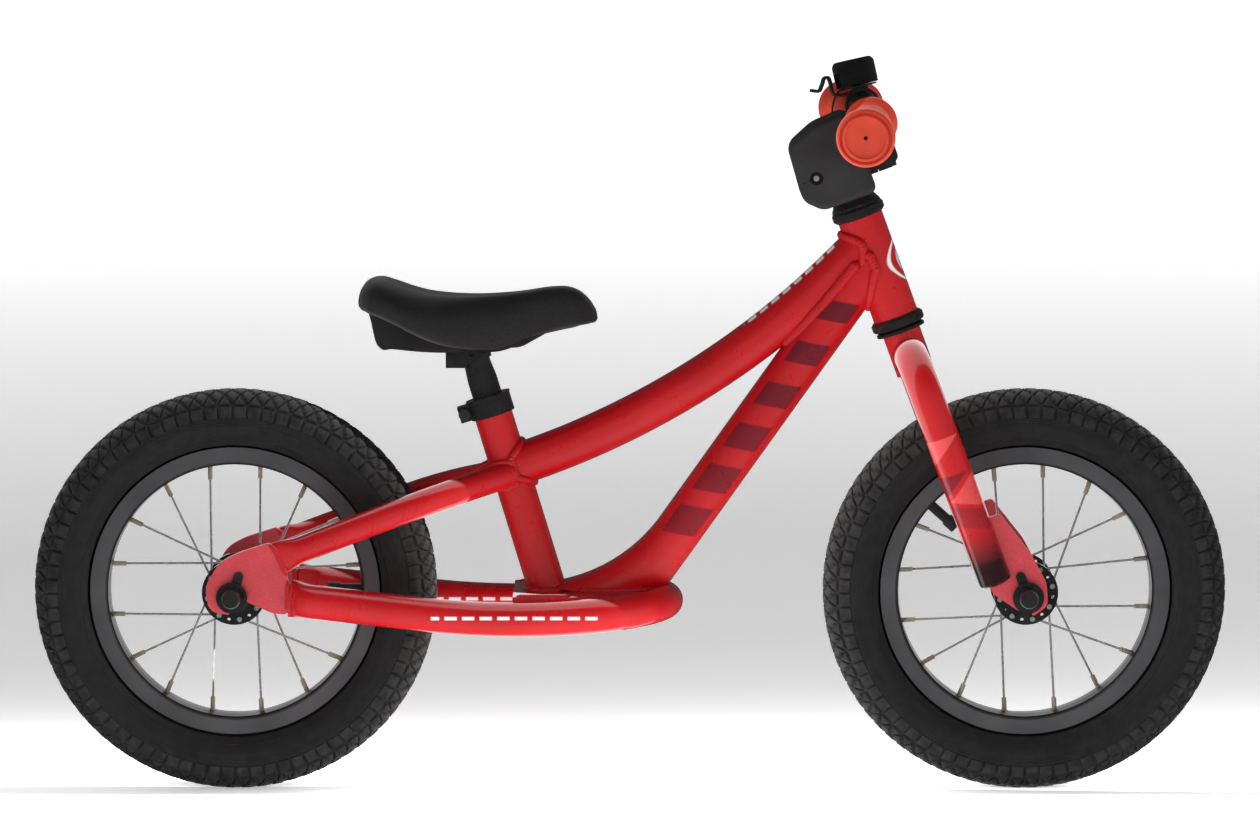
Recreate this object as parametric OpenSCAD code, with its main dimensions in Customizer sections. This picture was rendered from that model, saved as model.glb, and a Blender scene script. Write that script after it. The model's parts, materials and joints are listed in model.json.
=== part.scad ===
// Balance bike with twelve inch wheels: welded alloy frame, unicrown fork, spoked wheels.
// X points forward, Y to the rider's left and Z up; the ground is Z = 0, midway between the axles.

/* [Wheels] */
// Distance between the front and rear axles
wheel_base = 590; // [570:5:760]
// Outside diameter of the tyres
tyre_od = 300; // [280:1:370]
// Width of the tyre
tyre_w = 52; // [46:1:62]
// Height of the tyre above the edge of the rim
tyre_wall = 42; // [36:1:50]
// Width of the rim over its side walls
rim_w = 30; // [26:1:36]
// Depth of the rim from its edge to the spoke bed
rim_depth = 14; // [12:1:18]
// Diameter of the hub flanges
flange_d = 48; // [44:1:58]
// Distance between the outer faces of the two hub flanges
flange_span = 50; // [44:1:54]
// Diameter of the circle through the spoke holes of a flange
spoke_circle_d = 40.4; // [36:0.2:44]
// Diameter of a spoke
spoke_d = 1.8; // [1.5:0.1:2.2]
// Spokes on each hub flange
spokes_per_flange = 8; // [8:2:12]
// Diameter of the axles
axle_d = 10; // [8:0.5:12]
// Width over the lock nuts of each hub, which is the gap between the dropouts
hub_span = 87; // [85:1:104]

/* [Frame] */
// Angle of the head tube above the ground
head_angle = 70; // [66:0.5:74]
// Distance of the front axle ahead of the steering axis
fork_rake = 21; // [15:1:28]
// Length of the head tube
head_tube_len = 78; // [68:1:94]
// Outside diameter of the top tube
top_tube_d = 31.8; // [28:0.1:36]
// Radius of the bend along the whole top tube
top_tube_bend = 621; // [520:1:800]
// Outside diameter of the down tube
down_tube_d = 34.9; // [31:0.1:38]
// Radius of the bend at the foot of the down tube
down_tube_bend = 138; // [115:1:165]
// Wall of the main tubes
tube_wall = 1.8; // [1.2:0.1:2.4]
// Lean of the seat tube from upright
seat_lean = 17; // [14:0.5:20]
// Distance of the foot of the seat tube ahead of the rear axle
seat_foot_x = 233; // [220:1:250]
// Length of the seat tube above the footrest plate
seat_tube_len = 151; // [135:1:180]
// Distance of the foot of the down tube ahead of the rear axle
down_foot_x = 300; // [290:1:320]
// Diameter of the footrest tube
footrest_d = 25.4; // [22:0.1:28]
// Distance between the two long sides of the footrest tube
footrest_w = 104; // [100:1:124]
// Diameter of the seat stays
stay_d = 20; // [18:0.5:23]
// Thickness of the dropouts
dropout_t = 5; // [4:0.5:6]

/* [Fork and headset] */
// Diameter of the steerer tube
steerer_d = 25.4; // [22.2:0.1:30.6]
// Diameter of the fork legs
leg_d = 25; // [22:0.5:28]
// Distance between the centres of the fork legs
leg_span = 94; // [92:1:112]
// Clear height between the tyre and the lower end of the crown
crown_gap = 32; // [26:1:40]

/* [Handlebar] */
// Diameter of the handlebar
bar_d = 22.2; // [20:0.1:26.7]
// Overall width of the handlebar over the grips
bar_w = 400; // [370:5:480]
// Length of a grip
grip_len = 88; // [75:1:92]
// Reach of the stem ahead of the steering axis
stem_reach = 24; // [22:1:30]
// Diameter of the bell
bell_d = 32.6; // [28:0.2:36]

/* [Seat] */
// Diameter of the seat post
post_d = 22.2; // [20:0.1:26.7]
// Length of the seat post below the top of the seat tube
post_depth = 80; // [60:1:100]
// Overall width of the saddle
saddle_w = 124; // [105:1:148]

/* [Hidden] */
$fn = 64;

// Clearances
run_gap = 0.05;    // radial gap of a shaft that turns or slides in its bore
face_gap = 0.3;    // gap between faces that pass each other
big = 400;         // longer than any cut needs to be

// Wheel sizes
tyre_r = tyre_od / 2;
axle_z = tyre_r;
rear_x = -wheel_base / 2;
front_x = wheel_base / 2;
rim_r = tyre_r - tyre_wall;
rim_half = rim_w / 2;
rim_skin = 1.8;
bead_r = rim_r - 6.5;
bed_r = rim_r - rim_depth;
well_r = bed_r + 2.4;
tape_r = well_r + 3.4;
nipple_offset = 3;
nipple_len = 11;
valve_r = 3.85;
axle_r = axle_d / 2;
bearing_r = axle_r + 8;
bearing_w = 8;
hub_half = 36;
flange_t = 3;
flange_out = flange_span / 2;
flange_in = flange_out - flange_t;
drop_in = hub_span / 2;
drop_out = drop_in + dropout_t;
washer_t = 1.8;
nut_flange_t = 2.5;
nut_hex_af = axle_d + 5;
nut_hex_h = 7;
axle_half = drop_out + washer_t + nut_flange_t + nut_hex_h - 1.5;
front_turn = -3;
rear_turn = 0;
front_valve_angle = -45;
rear_valve_angle = 90;

// Steering axis, its foot beside the front axle, and heights along it
head_lean = 90 - head_angle;
head_foot = [front_x - fork_rake * cos(head_lean), 0, axle_z - fork_rake * sin(head_lean)];
head_dir = [-sin(head_lean), 0, cos(head_lean)];
crown_low = tyre_r + crown_gap;
crown_top = crown_low + 32;
race_h = 4.2;
cup_h = 8;
head_low = crown_top + race_h + cup_h;
head_high = head_low + head_tube_len;
steerer_r = steerer_d / 2;
steerer_wall = 1.5;
crown_r = steerer_r + 1.6;
bearing_ring_r = steerer_r + 4.3;
head_bore_r = steerer_r + 2.4;
head_tube_r = head_bore_r + 1.9;
cup_r = bearing_ring_r + 3;
cover_low = head_high + cup_h + face_gap;
cover_h = 6;
stem_low = cover_low + cover_h + 2;
stem_h = 40;
stem_top = stem_low + stem_h;
stem_r = steerer_r + 4.3;
bar_r = bar_d / 2;
bar_up = stem_low + 31;
clamp_half_h = bar_r + 7.4;
clamp_half_w = 22;

// Frame points in the X-Z plane
plate_z = axle_z;
plate_t = 4;
post_r = post_d / 2;
seat_tube_r = post_r + 3.2;
seat_foot = [rear_x + seat_foot_x, 0, plate_z];
seat_dir = [-sin(seat_lean), 0, cos(seat_lean)];
top_joint_w = 95.7;
top_start = seat_foot + top_joint_w * seat_dir;
top_end = head_foot + (head_high - 17) * head_dir;
down_start = head_foot + (head_low + 46.5) * head_dir;
down_foot = [rear_x + down_foot_x, 0, plate_z];
down_dir = unit(down_foot - down_start);
down_flat_z = plate_z - 13;
down_corner = down_start + down_dir * ((down_start.z - down_flat_z) / -down_dir.z);
down_turn = acos(down_dir * [-1, 0, 0]);
down_r = down_tube_d / 2;
top_r = top_tube_d / 2;

// Footrest tube: a long U that sags between the rear dropouts and its round front
rail_y = footrest_w / 2;
rail_r = footrest_d / 2;
rail_bend = 600;
front_bend = rail_y - 0.5;
rail_rear = [rear_x + 43, -rail_y, axle_z - 1];
rail_mid = [rear_x + 204, -rail_y, axle_z - 19.3];
rail_front = [rear_x + 322, -rail_y, axle_z - 8.4];
rail_points = [rail_rear, rail_mid, rail_front, other_side(rail_front), other_side(rail_mid),
    other_side(rail_rear)];
rail_bends = [rail_bend, front_bend, front_bend, rail_bend];

// Seat stays run from the dropouts to the flanks of the seat tube
stay_r = stay_d / 2;
stay_rear = [rear_x + 37, -(drop_in + drop_out) / 2, axle_z + 30];
stay_front = seat_foot + 92 * seat_dir + [0, -10, 0];
stay_bend_point = [rear_x + 150, -(drop_in + drop_out) / 2 + 3, axle_z + 72.6];

// Handlebar: straight through the stem, rises on each side and sweeps back at the grips
bar_centre = head_foot + bar_up * head_dir + stem_reach * [cos(head_lean), 0, sin(head_lean)];
bar_low = bar_centre + [0, 36, 0];
bar_high = bar_centre + [0.1, 72, 26.6];
bar_end = bar_centre + [-10.4, bar_w / 2 - 4, 18.4];
bar_wall = 2;
bar_bend = 34;
grip_dir = unit(bar_end - bar_high);
grip_end = bar_end + grip_dir * 4;
grip_start = grip_end - grip_dir * grip_len;
bell_at = bar_high + grip_dir * 21;
bell_lean = 12.4;
bell_up = unit(cross(cross(grip_dir, [-sin(bell_lean), 0, cos(bell_lean)]), grip_dir));
bell_fore = cross(grip_dir, bell_up);
bell_r = bell_d / 2;
bell_h = 20;
bell_rise = bar_r + 3.5;
lever_pin = [-9, 0, bar_r + 0.5];

// Helpers ------------------------------------------------------------------------------

function unit(v) = v / norm(v);
function other_side(p) = [p.x, -p.y, p.z];

// Closed outline with each corner rounded to its own radius; 0 keeps the corner sharp
function rounded(pts, radii, n = 8) = [
    for (i = [0 : len(pts) - 1])
        let (
            here = pts[i],
            to_last = unit(pts[(i + len(pts) - 1) % len(pts)] - here),
            to_next = unit(pts[(i + 1) % len(pts)] - here),
            half = acos(to_last * to_next) / 2,
            r = radii[i],
            centre = here + unit(to_last + to_next) * r / sin(half),
            from = here + to_last * r / tan(half) - centre,
            to = here + to_next * r / tan(half) - centre,
            a = atan2(from.y, from.x),
            sweep = (atan2(to.y, to.x) - a + 540) % 360 - 180
        )
        each (r == 0 ? [here] : [for (k = [0 : n])
            centre + r * [cos(a + sweep * k / n), sin(a + sweep * k / n)]])
];

// Puts children in a frame with the given origin and axes
module place(o, x, y, z) {
    multmatrix([[x.x, y.x, z.x, o.x], [x.y, y.y, z.y, o.y], [x.z, y.z, z.z, o.z], [0, 0, 0, 1]])
        children();
}

// Puts children at o with their Z along the direction given and their X across world Y
module point_z(o, z) {
    side = abs(z.y) > 0.9 ? [1, 0, 0] : [0, 1, 0];
    x = unit(cross(side, z));
    place(o, x, cross(z, x), z) children();
}

// Round rod from p to q
module rod(p, q, r) {
    point_z(p, unit(q - p)) cylinder(h = norm(q - p), r = r);
}

// Stations along a path whose inner corners are bent to the radii given: each is a point and a
// direction, with a station about every nine degrees of bend
function stations(pts, bends) = let (
    last = len(pts) - 1,
    dirs = [for (i = [0 : last - 1]) unit(pts[i + 1] - pts[i])]
) concat([[pts[0], dirs[0]]], [
    for (i = [1 : last - 1])
        let (
            from = dirs[i - 1],
            turn = acos(from * dirs[i]),
            inward = unit(dirs[i] - from * (from * dirs[i])),
            centre = pts[i] - from * bends[i - 1] * tan(turn / 2) + inward * bends[i - 1],
            n = max(3, ceil(turn / 9))
        )
        for (k = [0 : n])
            let (t = turn * k / n)
                [centre + bends[i - 1] * (from * sin(t) - inward * cos(t)), from * cos(t) + inward * sin(t)]
], [[pts[last], dirs[last - 1]]]);

// Ring of points round a centre, on the two half axes given
function ring(centre, a, b, sides) = [for (j = [0 : sides - 1])
    centre + a * cos(360 * j / sides) + b * sin(360 * j / sides)];
// Round rings of radius r at stations, turned so that their first half axis is square to ref
function round_rings(stops, r, ref, sides) = [for (s = stops)
    let (x = unit(cross(ref, s[1]))) ring(s[0], r * x, r * cross(s[1], x), sides)];

// Closed skin over rings of points; with inner rings it is a wall, open at both ends
module skin(outer, inner = []) {
    sides = len(outer[0]);
    last = len(outer) - 1;
    step = sides * len(outer);
    hollow = len(inner) > 0;
    function at(i, j) = i * sides + j % sides;
    wall = [for (i = [0 : last - 1], j = [0 : sides - 1]) [at(i, j), at(i + 1, j), at(i + 1, j + 1), at(i, j + 1)]];
    bore = [for (f = wall) [for (k = [3 : -1 : 0]) f[k] + step]];
    lips = [for (j = [0 : sides - 1]) each [
        [at(0, j), at(0, j + 1), at(0, j + 1) + step, at(0, j) + step],
        [at(last, j + 1), at(last, j), at(last, j) + step, at(last, j + 1) + step]]];
    caps = [[for (j = [0 : sides - 1]) at(0, j)], [for (j = [sides - 1 : -1 : 0]) at(last, j)]];
    polyhedron(points = [each each outer, each each inner], faces = concat(wall, hollow ? concat(bore, lips) : caps));
}

// Round bar, or tube with a wall, bent along points
module bent_rod(pts, bends, r, ref, sides = 20) skin(round_rings(stations(pts, bends), r, ref, sides));
module bent_tube(pts, bends, r, wall, ref, sides = 24) skin(
    round_rings(stations(pts, bends), r, ref, sides), round_rings(stations(pts, bends), r - wall, ref, sides));

module tube(h, r, bore) {
    difference() {
        cylinder(h = h, r = r);
        translate([0, 0, -1]) cylinder(h = h + 2, r = bore);
    }
}

// Frames of the steering axis, the seat tube, each wheel and the bell
module on_head() translate(head_foot) rotate([0, -head_lean, 0]) children();
module on_seat() translate(seat_foot) rotate([0, -seat_lean, 0]) children();
module on_wheel(x) translate([x, 0, axle_z]) rotate([90, 0, 0]) children();
module on_bell() place(bell_at, bell_fore, grip_dir, bell_up) children();
module both_faces() { children(); mirror([0, 0, 1]) children(); }
module both_sides() { children(); mirror([0, 1, 0]) children(); }

// Plate in the X-Z plane between two values of y, drawn as an outline
module plate_xz(y_low, y_high) translate([0, y_high, 0]) rotate([90, 0, 0])
    linear_extrude(height = y_high - y_low) children();

// Solid outer shapes used both for the tubes and to cope the tubes that meet them ------

module head_tube_solid() on_head() translate([0, 0, head_low])
    cylinder(h = head_tube_len, r = head_tube_r);
module seat_tube_solid() on_seat() translate([0, 0, -20])
    cylinder(h = seat_tube_len + 20, r = seat_tube_r);
module top_tube_core(r, extra = 0) {
    half = (top_end - top_start) / 2;
    up = unit([-half.z, 0, half.x]);
    centre = top_start + half + up * sqrt(pow(top_tube_bend, 2) - pow(norm(half), 2));
    arm = unit(top_start - centre);
    sweep = 2 * asin(norm(half) / top_tube_bend);
    spare = extra / top_tube_bend * 180 / PI;
    place(centre, arm, unit([-arm.z, 0, arm.x]), [0, -1, 0]) rotate([0, 0, -spare])
        rotate_extrude(angle = sweep + 2 * spare) translate([top_tube_bend, 0]) circle(r = r);
}
// The down tube is round, and its foot is drawn out: the upper edge bends to run along the plate
// while the lower edge stays straight. A ring joins the two edges; skin is how far it is inset.
function down_normal(t) = [-sin(down_turn - t), 0, cos(down_turn - t)];
function down_rings(inset) = let (
    r = down_r - inset,
    bend = down_tube_bend - r,
    bend_start = down_corner - down_dir * down_tube_bend * tan(down_turn / 2),
    hub = bend_start + down_normal(0) * down_tube_bend,
    foot_len = (bend_start.z - down_r * down_normal(0).z - plate_z + 8) / -down_dir.z
) concat([ring(down_start, r * down_normal(0), [0, r, 0], 28)], [
    for (k = [0 : 9])
        let (
            t = down_turn * k / 9,
            upper = hub - bend * down_normal(t),
            lower = bend_start - r * down_normal(0) + down_dir * foot_len * k / 9
        ) ring((upper + lower) / 2, (upper - lower) / 2, [0, r, 0], 28)
]);
module footrest_core(r) bent_rod(rail_points, rail_bends, r, [0, 0, 1], 24);
module above_plate() translate([-big, -big, plate_z]) cube([2 * big, 2 * big, 2 * big]);

// Frame --------------------------------------------------------------------------------

module head_tube() color("firebrick") on_head() translate([0, 0, head_low])
    tube(head_tube_len, head_tube_r, head_bore_r);

module top_tube() color("firebrick") difference() {
    top_tube_core(top_r);
    top_tube_core(top_r - tube_wall, 2);
    head_tube_solid();
    seat_tube_solid();
}

module down_tube() color("firebrick") difference() {
    intersection() {
        skin(down_rings(0));
        above_plate();
    }
    skin(down_rings(tube_wall));
    head_tube_solid();
    seat_tube_solid();
    top_tube_core(top_r, 2);
    footrest_core(rail_r);
}

module seat_tube() color("firebrick") difference() {
    intersection() {
        seat_tube_solid();
        above_plate();
    }
    on_seat() {
        translate([0, 0, -20]) cylinder(h = 76, r = seat_tube_r - 1.6);
        translate([0, 0, 50]) cylinder(h = seat_tube_len, r = post_r + run_gap);
        translate([-seat_tube_r - 2, -1.5, seat_tube_len - 26]) cube([seat_tube_r, 3, 30]);
        translate([-seat_tube_r - 2, 0, seat_tube_len - 26]) rotate([0, 90, 0])
            cylinder(h = seat_tube_r, r = 2.5);
    }
}

module footrest_tube() color("firebrick") difference() {
    bent_tube(rail_points, rail_bends, rail_r, tube_wall, [0, 0, 1]);
    rear_dropout_plates();
}

module footrest_plate() color("firebrick") difference() {
    plate_back = rear_x + 208;
    bend_x = rail_front.x - front_bend;
    translate([0, 0, plate_z - plate_t]) linear_extrude(height = plate_t) union() {
        translate([plate_back, -rail_y + 5]) square([bend_x - plate_back, footrest_w - 10]);
        translate([bend_x, 0]) circle(r = rail_y - 5);
    }
    footrest_core(rail_r);
}

module seat_stays() color("firebrick") both_sides() difference() {
    bent_tube([stay_rear, stay_bend_point, stay_front], [120], stay_r, 1.5, [0, 0, 1]);
    seat_tube_solid();
    top_tube_core(top_r, 2);
    rear_dropout_plates();
}

// Keyhole slot about an axle, which the wheel drops out of
module dropout_slot(turn) rotate(turn) {
    translate([-axle_r - 0.1, -30]) square([axle_d + 0.2, 30]);
    circle(r = axle_r + 0.4);
}
// Outline of a rear dropout about its axle
module rear_dropout_outline() difference() {
    polygon(rounded([[-3, -13], [-17, -11], [-20, 8], [-9, 26], [4, 33], [29, 41], [42, 14],
        [41, -13], [30, -12], [10, -3]], [0, 9, 16, 24, 60, 4, 20, 3, 12, 0]));
    dropout_slot(28);
    translate([5, 15.5]) circle(r = 3.6);
}
module rear_dropout_plates() translate([rear_x, 0, axle_z]) both_sides()
    plate_xz(-drop_out, -drop_in) rear_dropout_outline();
module rear_dropouts() color("indianred") rear_dropout_plates();

// Axle sets ----------------------------------------------------------------------------

module axle(x) color("dimgray") on_wheel(x) translate([0, 0, -axle_half])
    cylinder(h = 2 * axle_half, r = axle_r);

// Cone and lock nut on the axle between each hub bearing and its dropout
module axle_spacers(x) color("dimgray") on_wheel(x) both_faces() rotate_extrude()
    polygon([[axle_r, hub_half + face_gap], [axle_r + 2.2, hub_half + face_gap],
        [axle_r + 4, hub_half + 2.2], [axle_r + 4, drop_in], [axle_r, drop_in]]);

module axle_nuts(x) color([0.1, 0.1, 0.1]) on_wheel(x) both_faces()
    translate([0, 0, drop_out + washer_t]) difference() {
        union() {
            cylinder(h = nut_flange_t, r = nut_hex_af * 0.77);
            translate([0, 0, nut_flange_t]) cylinder(h = nut_hex_h - 1, d = nut_hex_af / cos(30), $fn = 6);
            translate([0, 0, nut_flange_t]) cylinder(h = nut_hex_h, r = nut_hex_af / 2 - 0.4);
            translate([0, 0, nut_flange_t + nut_hex_h]) intersection() {
                sphere(r = nut_hex_af / 2 - 0.4);
                cylinder(h = 4, r = nut_hex_af);
            }
        }
        translate([0, 0, -1]) cylinder(h = nut_flange_t + nut_hex_h - 0.5, r = axle_r);
    }

// Washer with a tab whose hook drops into the small hole beside the slot
module safety_washers(x, tab_angle, tab_reach) color([0.13, 0.13, 0.13]) on_wheel(x) both_faces() {
    translate([0, 0, drop_out]) difference() {
        union() {
            cylinder(h = washer_t, r = axle_r + 5);
            rotate([0, 0, tab_angle]) translate([-3.6, 0, 0]) cube([7.2, tab_reach, washer_t]);
            rotate([0, 0, tab_angle]) translate([0, tab_reach, 0]) cylinder(h = washer_t, r = 3.6);
        }
        translate([0, 0, -1]) cylinder(h = 6, r = axle_r + 0.1);
    }
    rotate([0, 0, tab_angle]) translate([0, tab_reach, drop_out - 2.5]) cylinder(h = 3, r = 3);
}

module rear_axle() axle(rear_x);
module rear_axle_spacers() axle_spacers(rear_x);
module rear_axle_nuts() axle_nuts(rear_x);
module rear_safety_washers() safety_washers(rear_x, -17.9, 16.29);
module front_axle() axle(front_x);
module front_axle_spacers() axle_spacers(front_x);
module front_axle_nuts() axle_nuts(front_x);
module front_safety_washers() safety_washers(front_x, head_lean, 16.5);

// Wheels -------------------------------------------------------------------------------

spoke_step = 360 / spokes_per_flange;

// Angle of hole k of a flange, from the top of the wheel and growing forward; the two flanges
// are half a step apart
function flange_angle(k, far) = spoke_step * (k - 0.25 - (far ? 0.5 : 0));
function rim_hole(k, far) = let (a = flange_angle(k, far))
    [(bed_r + well_r) / 2 * sin(a), (bed_r + well_r) / 2 * cos(a), far ? -nipple_offset : nipple_offset];
// Each spoke crosses its partner: even ones lean back a step, odd ones lean forward a step
function hub_hole(k, far) = let (
    a = flange_angle(k + (k % 2 == 0 ? -1 : 1), far),
    z = flange_in - spoke_d / 2 - 0.25 - (k % 2 == 0 ? 0 : 2.8)
) [spoke_circle_d / 2 * sin(a), spoke_circle_d / 2 * cos(a), far ? -z : z];

module hub(x, turn) color([0.08, 0.08, 0.08]) on_wheel(x) rotate([0, 0, -turn]) difference() {
    rotate_extrude() polygon([[10.5, 0], [10.5, hub_half - bearing_w], [bearing_r, hub_half - bearing_w],
        [bearing_r, hub_half], [bearing_r + 2.6, hub_half], [bearing_r + 3, flange_out + 1.5],
        [bearing_r + 4, flange_out], [flange_d / 2, flange_out], [flange_d / 2, flange_in],
        [bearing_r + 4.5, flange_in], [bearing_r + 1.5, flange_in - 5], [bearing_r + 1.5, 5 - flange_in],
        [bearing_r + 4.5, -flange_in], [flange_d / 2, -flange_in], [flange_d / 2, -flange_out],
        [bearing_r + 4, -flange_out], [bearing_r + 3, -flange_out - 1.5], [bearing_r + 2.6, -hub_half],
        [bearing_r, -hub_half], [bearing_r, bearing_w - hub_half], [10.5, bearing_w - hub_half]]);
    for (far = [false, true], k = [0 : 2 * spokes_per_flange - 1]) {
        a = flange_angle(k / 2, far);
        translate([spoke_circle_d / 2 * sin(a), spoke_circle_d / 2 * cos(a), far ? -flange_out - 1 : flange_in - 1])
            cylinder(h = flange_t + 2, r = spoke_d / 2 + 0.3, $fn = 16);
    }
}

module hub_bearings(x) color("silver") on_wheel(x) both_faces() rotate_extrude()
    polygon([[axle_r + run_gap, hub_half - bearing_w], [bearing_r, hub_half - bearing_w], [bearing_r, hub_half],
        [bearing_r - 1.6, hub_half], [bearing_r - 1.6, hub_half - 0.6], [axle_r + 2, hub_half - 0.6],
        [axle_r + 2, hub_half], [axle_r + run_gap, hub_half]]);

module spokes(x, turn) color("lightgray") on_wheel(x) rotate([0, 0, -turn])
    for (far = [false, true], k = [0 : spokes_per_flange - 1]) {
        elbow = hub_hole(k, far);
        way = unit(rim_hole(k, far) - elbow);
        out = far ? -1 : 1;
        reach = norm(rim_hole(k, far) - elbow);
        rod(elbow, elbow + way * (reach - nipple_len), spoke_d / 2, $fn = 16);
        rod([elbow.x, elbow.y, elbow.z - out * 0.5], [elbow.x, elbow.y, out * (flange_out + 0.5)],
            spoke_d / 2 + 0.04, $fn = 16);
        rod([elbow.x, elbow.y, out * flange_out], [elbow.x, elbow.y, out * (flange_out + 1.1)], spoke_d + 0.1,
            $fn = 16);
    }

module nipples(x, turn) color("darkkhaki") on_wheel(x) rotate([0, 0, -turn])
    for (far = [false, true], k = [0 : spokes_per_flange - 1]) {
        seat = rim_hole(k, far);
        way = unit(seat - hub_hole(k, far));
        rod(seat - way * nipple_len, seat + way * 2.6, 1.9);
        rod(seat + way * 2.5, seat + way * 3.9, 3.1);
    }

module rim(x, turn, valve) color([0.16, 0.16, 0.17]) on_wheel(x) difference() {
    rotate_extrude($fn = 128) polygon([[rim_r, rim_half], [bed_r + 3.5, rim_half], [bed_r + 1, rim_half - 2.5],
        [bed_r, 4], [bed_r, -4], [bed_r + 1, 2.5 - rim_half], [bed_r + 3.5, -rim_half], [rim_r, -rim_half],
        [rim_r, rim_skin - rim_half], [bead_r, rim_skin - rim_half], [bead_r, 5.5 - rim_half],
        [well_r + 1.2, -8], [well_r, -5], [well_r, 5], [well_r + 1.2, 8], [bead_r, rim_half - 5.5],
        [bead_r, rim_half - rim_skin], [rim_r, rim_half - rim_skin]]);
    rotate([0, 0, -turn]) for (far = [false, true], k = [0 : spokes_per_flange - 1]) {
        seat = rim_hole(k, far);
        rod(seat * 0.9, seat * 1.05 - [0, 0, 0.05 * seat.z], 2.55);
    }
    rotate([0, 0, -turn - valve]) translate([0, bed_r - 5, 0]) rotate([-90, 0, 0]) cylinder(h = 12, r = valve_r + 0.4);
}

module rim_tape(x, turn, valve) color("saddlebrown") on_wheel(x) difference() {
    rotate_extrude($fn = 128) polygon([[tape_r, -8], [tape_r + 0.8, -8.2], [tape_r + 0.8, 8.2], [tape_r, 8]]);
    rotate([0, 0, -turn - valve]) translate([0, tape_r - 5, 0]) rotate([-90, 0, 0]) cylinder(h = 12, r = valve_r + 0.4);
}

// Inner tube of round section, with a valve stem that points to the hub
module inner_tube(x, turn, valve) color([0.2, 0.2, 0.2]) on_wheel(x) difference() {
    mid = rim_r + 0.405 * tyre_wall;
    fat = min(0.42 * tyre_wall, 0.38 * tyre_w);
    union() {
        rotate_extrude($fn = 128) translate([mid, 0]) circle(r = fat);
        rotate([0, 0, -turn - valve]) {
            translate([0, bed_r - 24, 0]) rotate([-90, 0, 0]) cylinder(h = mid - fat + 27 - bed_r, r = valve_r);
            translate([0, bed_r - 25, 0]) rotate([-90, 0, 0]) cylinder(h = 9, r = valve_r + 1);
        }
    }
    rotate_extrude($fn = 128) translate([mid, 0]) circle(r = fat - 1.5);
}

// Tyre section as heights above the rim edge and half widths, both as shares of the whole
outer_shape = [[0.04, 0.64], [0.19, 0.865], [0.40, 1], [0.59, 0.985], [0.75, 0.87], [0.89, 0.66],
    [0.972, 0.35], [1, 0]];
inner_shape = [[0.885, 0], [0.87, 0.26], [0.81, 0.52], [0.72, 0.72], [0.60, 0.85], [0.43, 0.87],
    [0.25, 0.77], [0.08, 0.58]];
module tyre(x) color([0.12, 0.12, 0.12]) on_wheel(x) {
    half = tyre_w / 2;
    bead_out = rim_half - rim_skin;
    side = concat([[bead_r, bead_out - 4], [bead_r, bead_out], [rim_r + 0.3, bead_out]],
        [for (p = outer_shape) [rim_r + p[0] * tyre_wall, p[1] * half]]);
    inside = concat([for (p = inner_shape) [rim_r + p[0] * tyre_wall, p[1] * half]],
        [[bead_r + 3, bead_out - 4]]);
    back = [for (i = [len(side) - 2 : -1 : 0]) [side[i][0], -side[i][1]]];
    inside_back = [for (i = [len(inside) - 1 : -1 : 1]) [inside[i][0], -inside[i][1]]];
    rotate_extrude($fn = 128) polygon(concat(side, back, inside_back, inside));
}

module front_hub() hub(front_x, front_turn);
module front_hub_bearings() hub_bearings(front_x);
module front_spokes() spokes(front_x, front_turn);
module front_nipples() nipples(front_x, front_turn);
module front_rim() rim(front_x, front_turn, front_valve_angle);
module front_rim_tape() rim_tape(front_x, front_turn, front_valve_angle);
module front_inner_tube() inner_tube(front_x, front_turn, front_valve_angle);
module front_tyre() tyre(front_x);
module rear_hub() hub(rear_x, rear_turn);
module rear_hub_bearings() hub_bearings(rear_x);
module rear_spokes() spokes(rear_x, rear_turn);
module rear_nipples() nipples(rear_x, rear_turn);
module rear_rim() rim(rear_x, rear_turn, rear_valve_angle);
module rear_rim_tape() rim_tape(rear_x, rear_turn, rear_valve_angle);
module rear_inner_tube() inner_tube(rear_x, rear_turn, rear_valve_angle);
module rear_tyre() tyre(rear_x);

// Headset ------------------------------------------------------------------------------

// Cup pressed on one end of the head tube, drawn with its mouth towards -Z at height 0
module cup() rotate_extrude() polygon([[bearing_ring_r, 0], [cup_r - 1, 0], [cup_r, 1.2], [cup_r, cup_h - 2.5],
    [cup_r - 1.8, cup_h - 0.6], [head_tube_r, cup_h], [head_bore_r, cup_h], [head_bore_r, cup_h + 8],
    [head_bore_r - 1.4, cup_h + 8], [head_bore_r - 1.4, cup_h - 1.2], [bearing_ring_r, cup_h - 1.2]]);
module headset_cups() color([0.09, 0.09, 0.09]) on_head() {
    translate([0, 0, head_low - cup_h]) cup();
    translate([0, 0, head_high + cup_h]) mirror([0, 0, 1]) cup();
}
module headset_bearings() color("silver") on_head()
    for (v = [head_low - cup_h + 0.6, head_high + 1.4])
        translate([0, 0, v]) tube(cup_h - 2, bearing_ring_r, steerer_r + run_gap);
module crown_race() color([0.1, 0.1, 0.1]) on_head() translate([0, 0, crown_top])
    rotate_extrude() polygon([[steerer_r, 0], [cup_r - 1.5, 0], [cup_r - 1.5, 2], [steerer_r + 3, race_h - face_gap],
        [steerer_r, race_h - face_gap]]);
module headset_dust_cover() color([0.07, 0.07, 0.07]) on_head() translate([0, 0, cover_low])
    rotate_extrude() polygon([[steerer_r, 0], [cup_r - 1, 0], [cup_r - 1.6, 2], [stem_r - 1, cover_h],
        [stem_r - 1, cover_h + 2], [steerer_r, cover_h + 2]]);

// Fork ---------------------------------------------------------------------------------

module fork_steerer() color("firebrick") on_head() {
    difference() {
        union() {
            translate([0, 0, crown_low]) cylinder(h = crown_top - crown_low, r = crown_r);
            translate([0, 0, crown_low]) cylinder(h = stem_top - 3 - crown_low, r = steerer_r);
        }
        translate([0, 0, crown_low - 1]) cylinder(h = stem_top, r = steerer_r - steerer_wall);
    }
}

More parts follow.
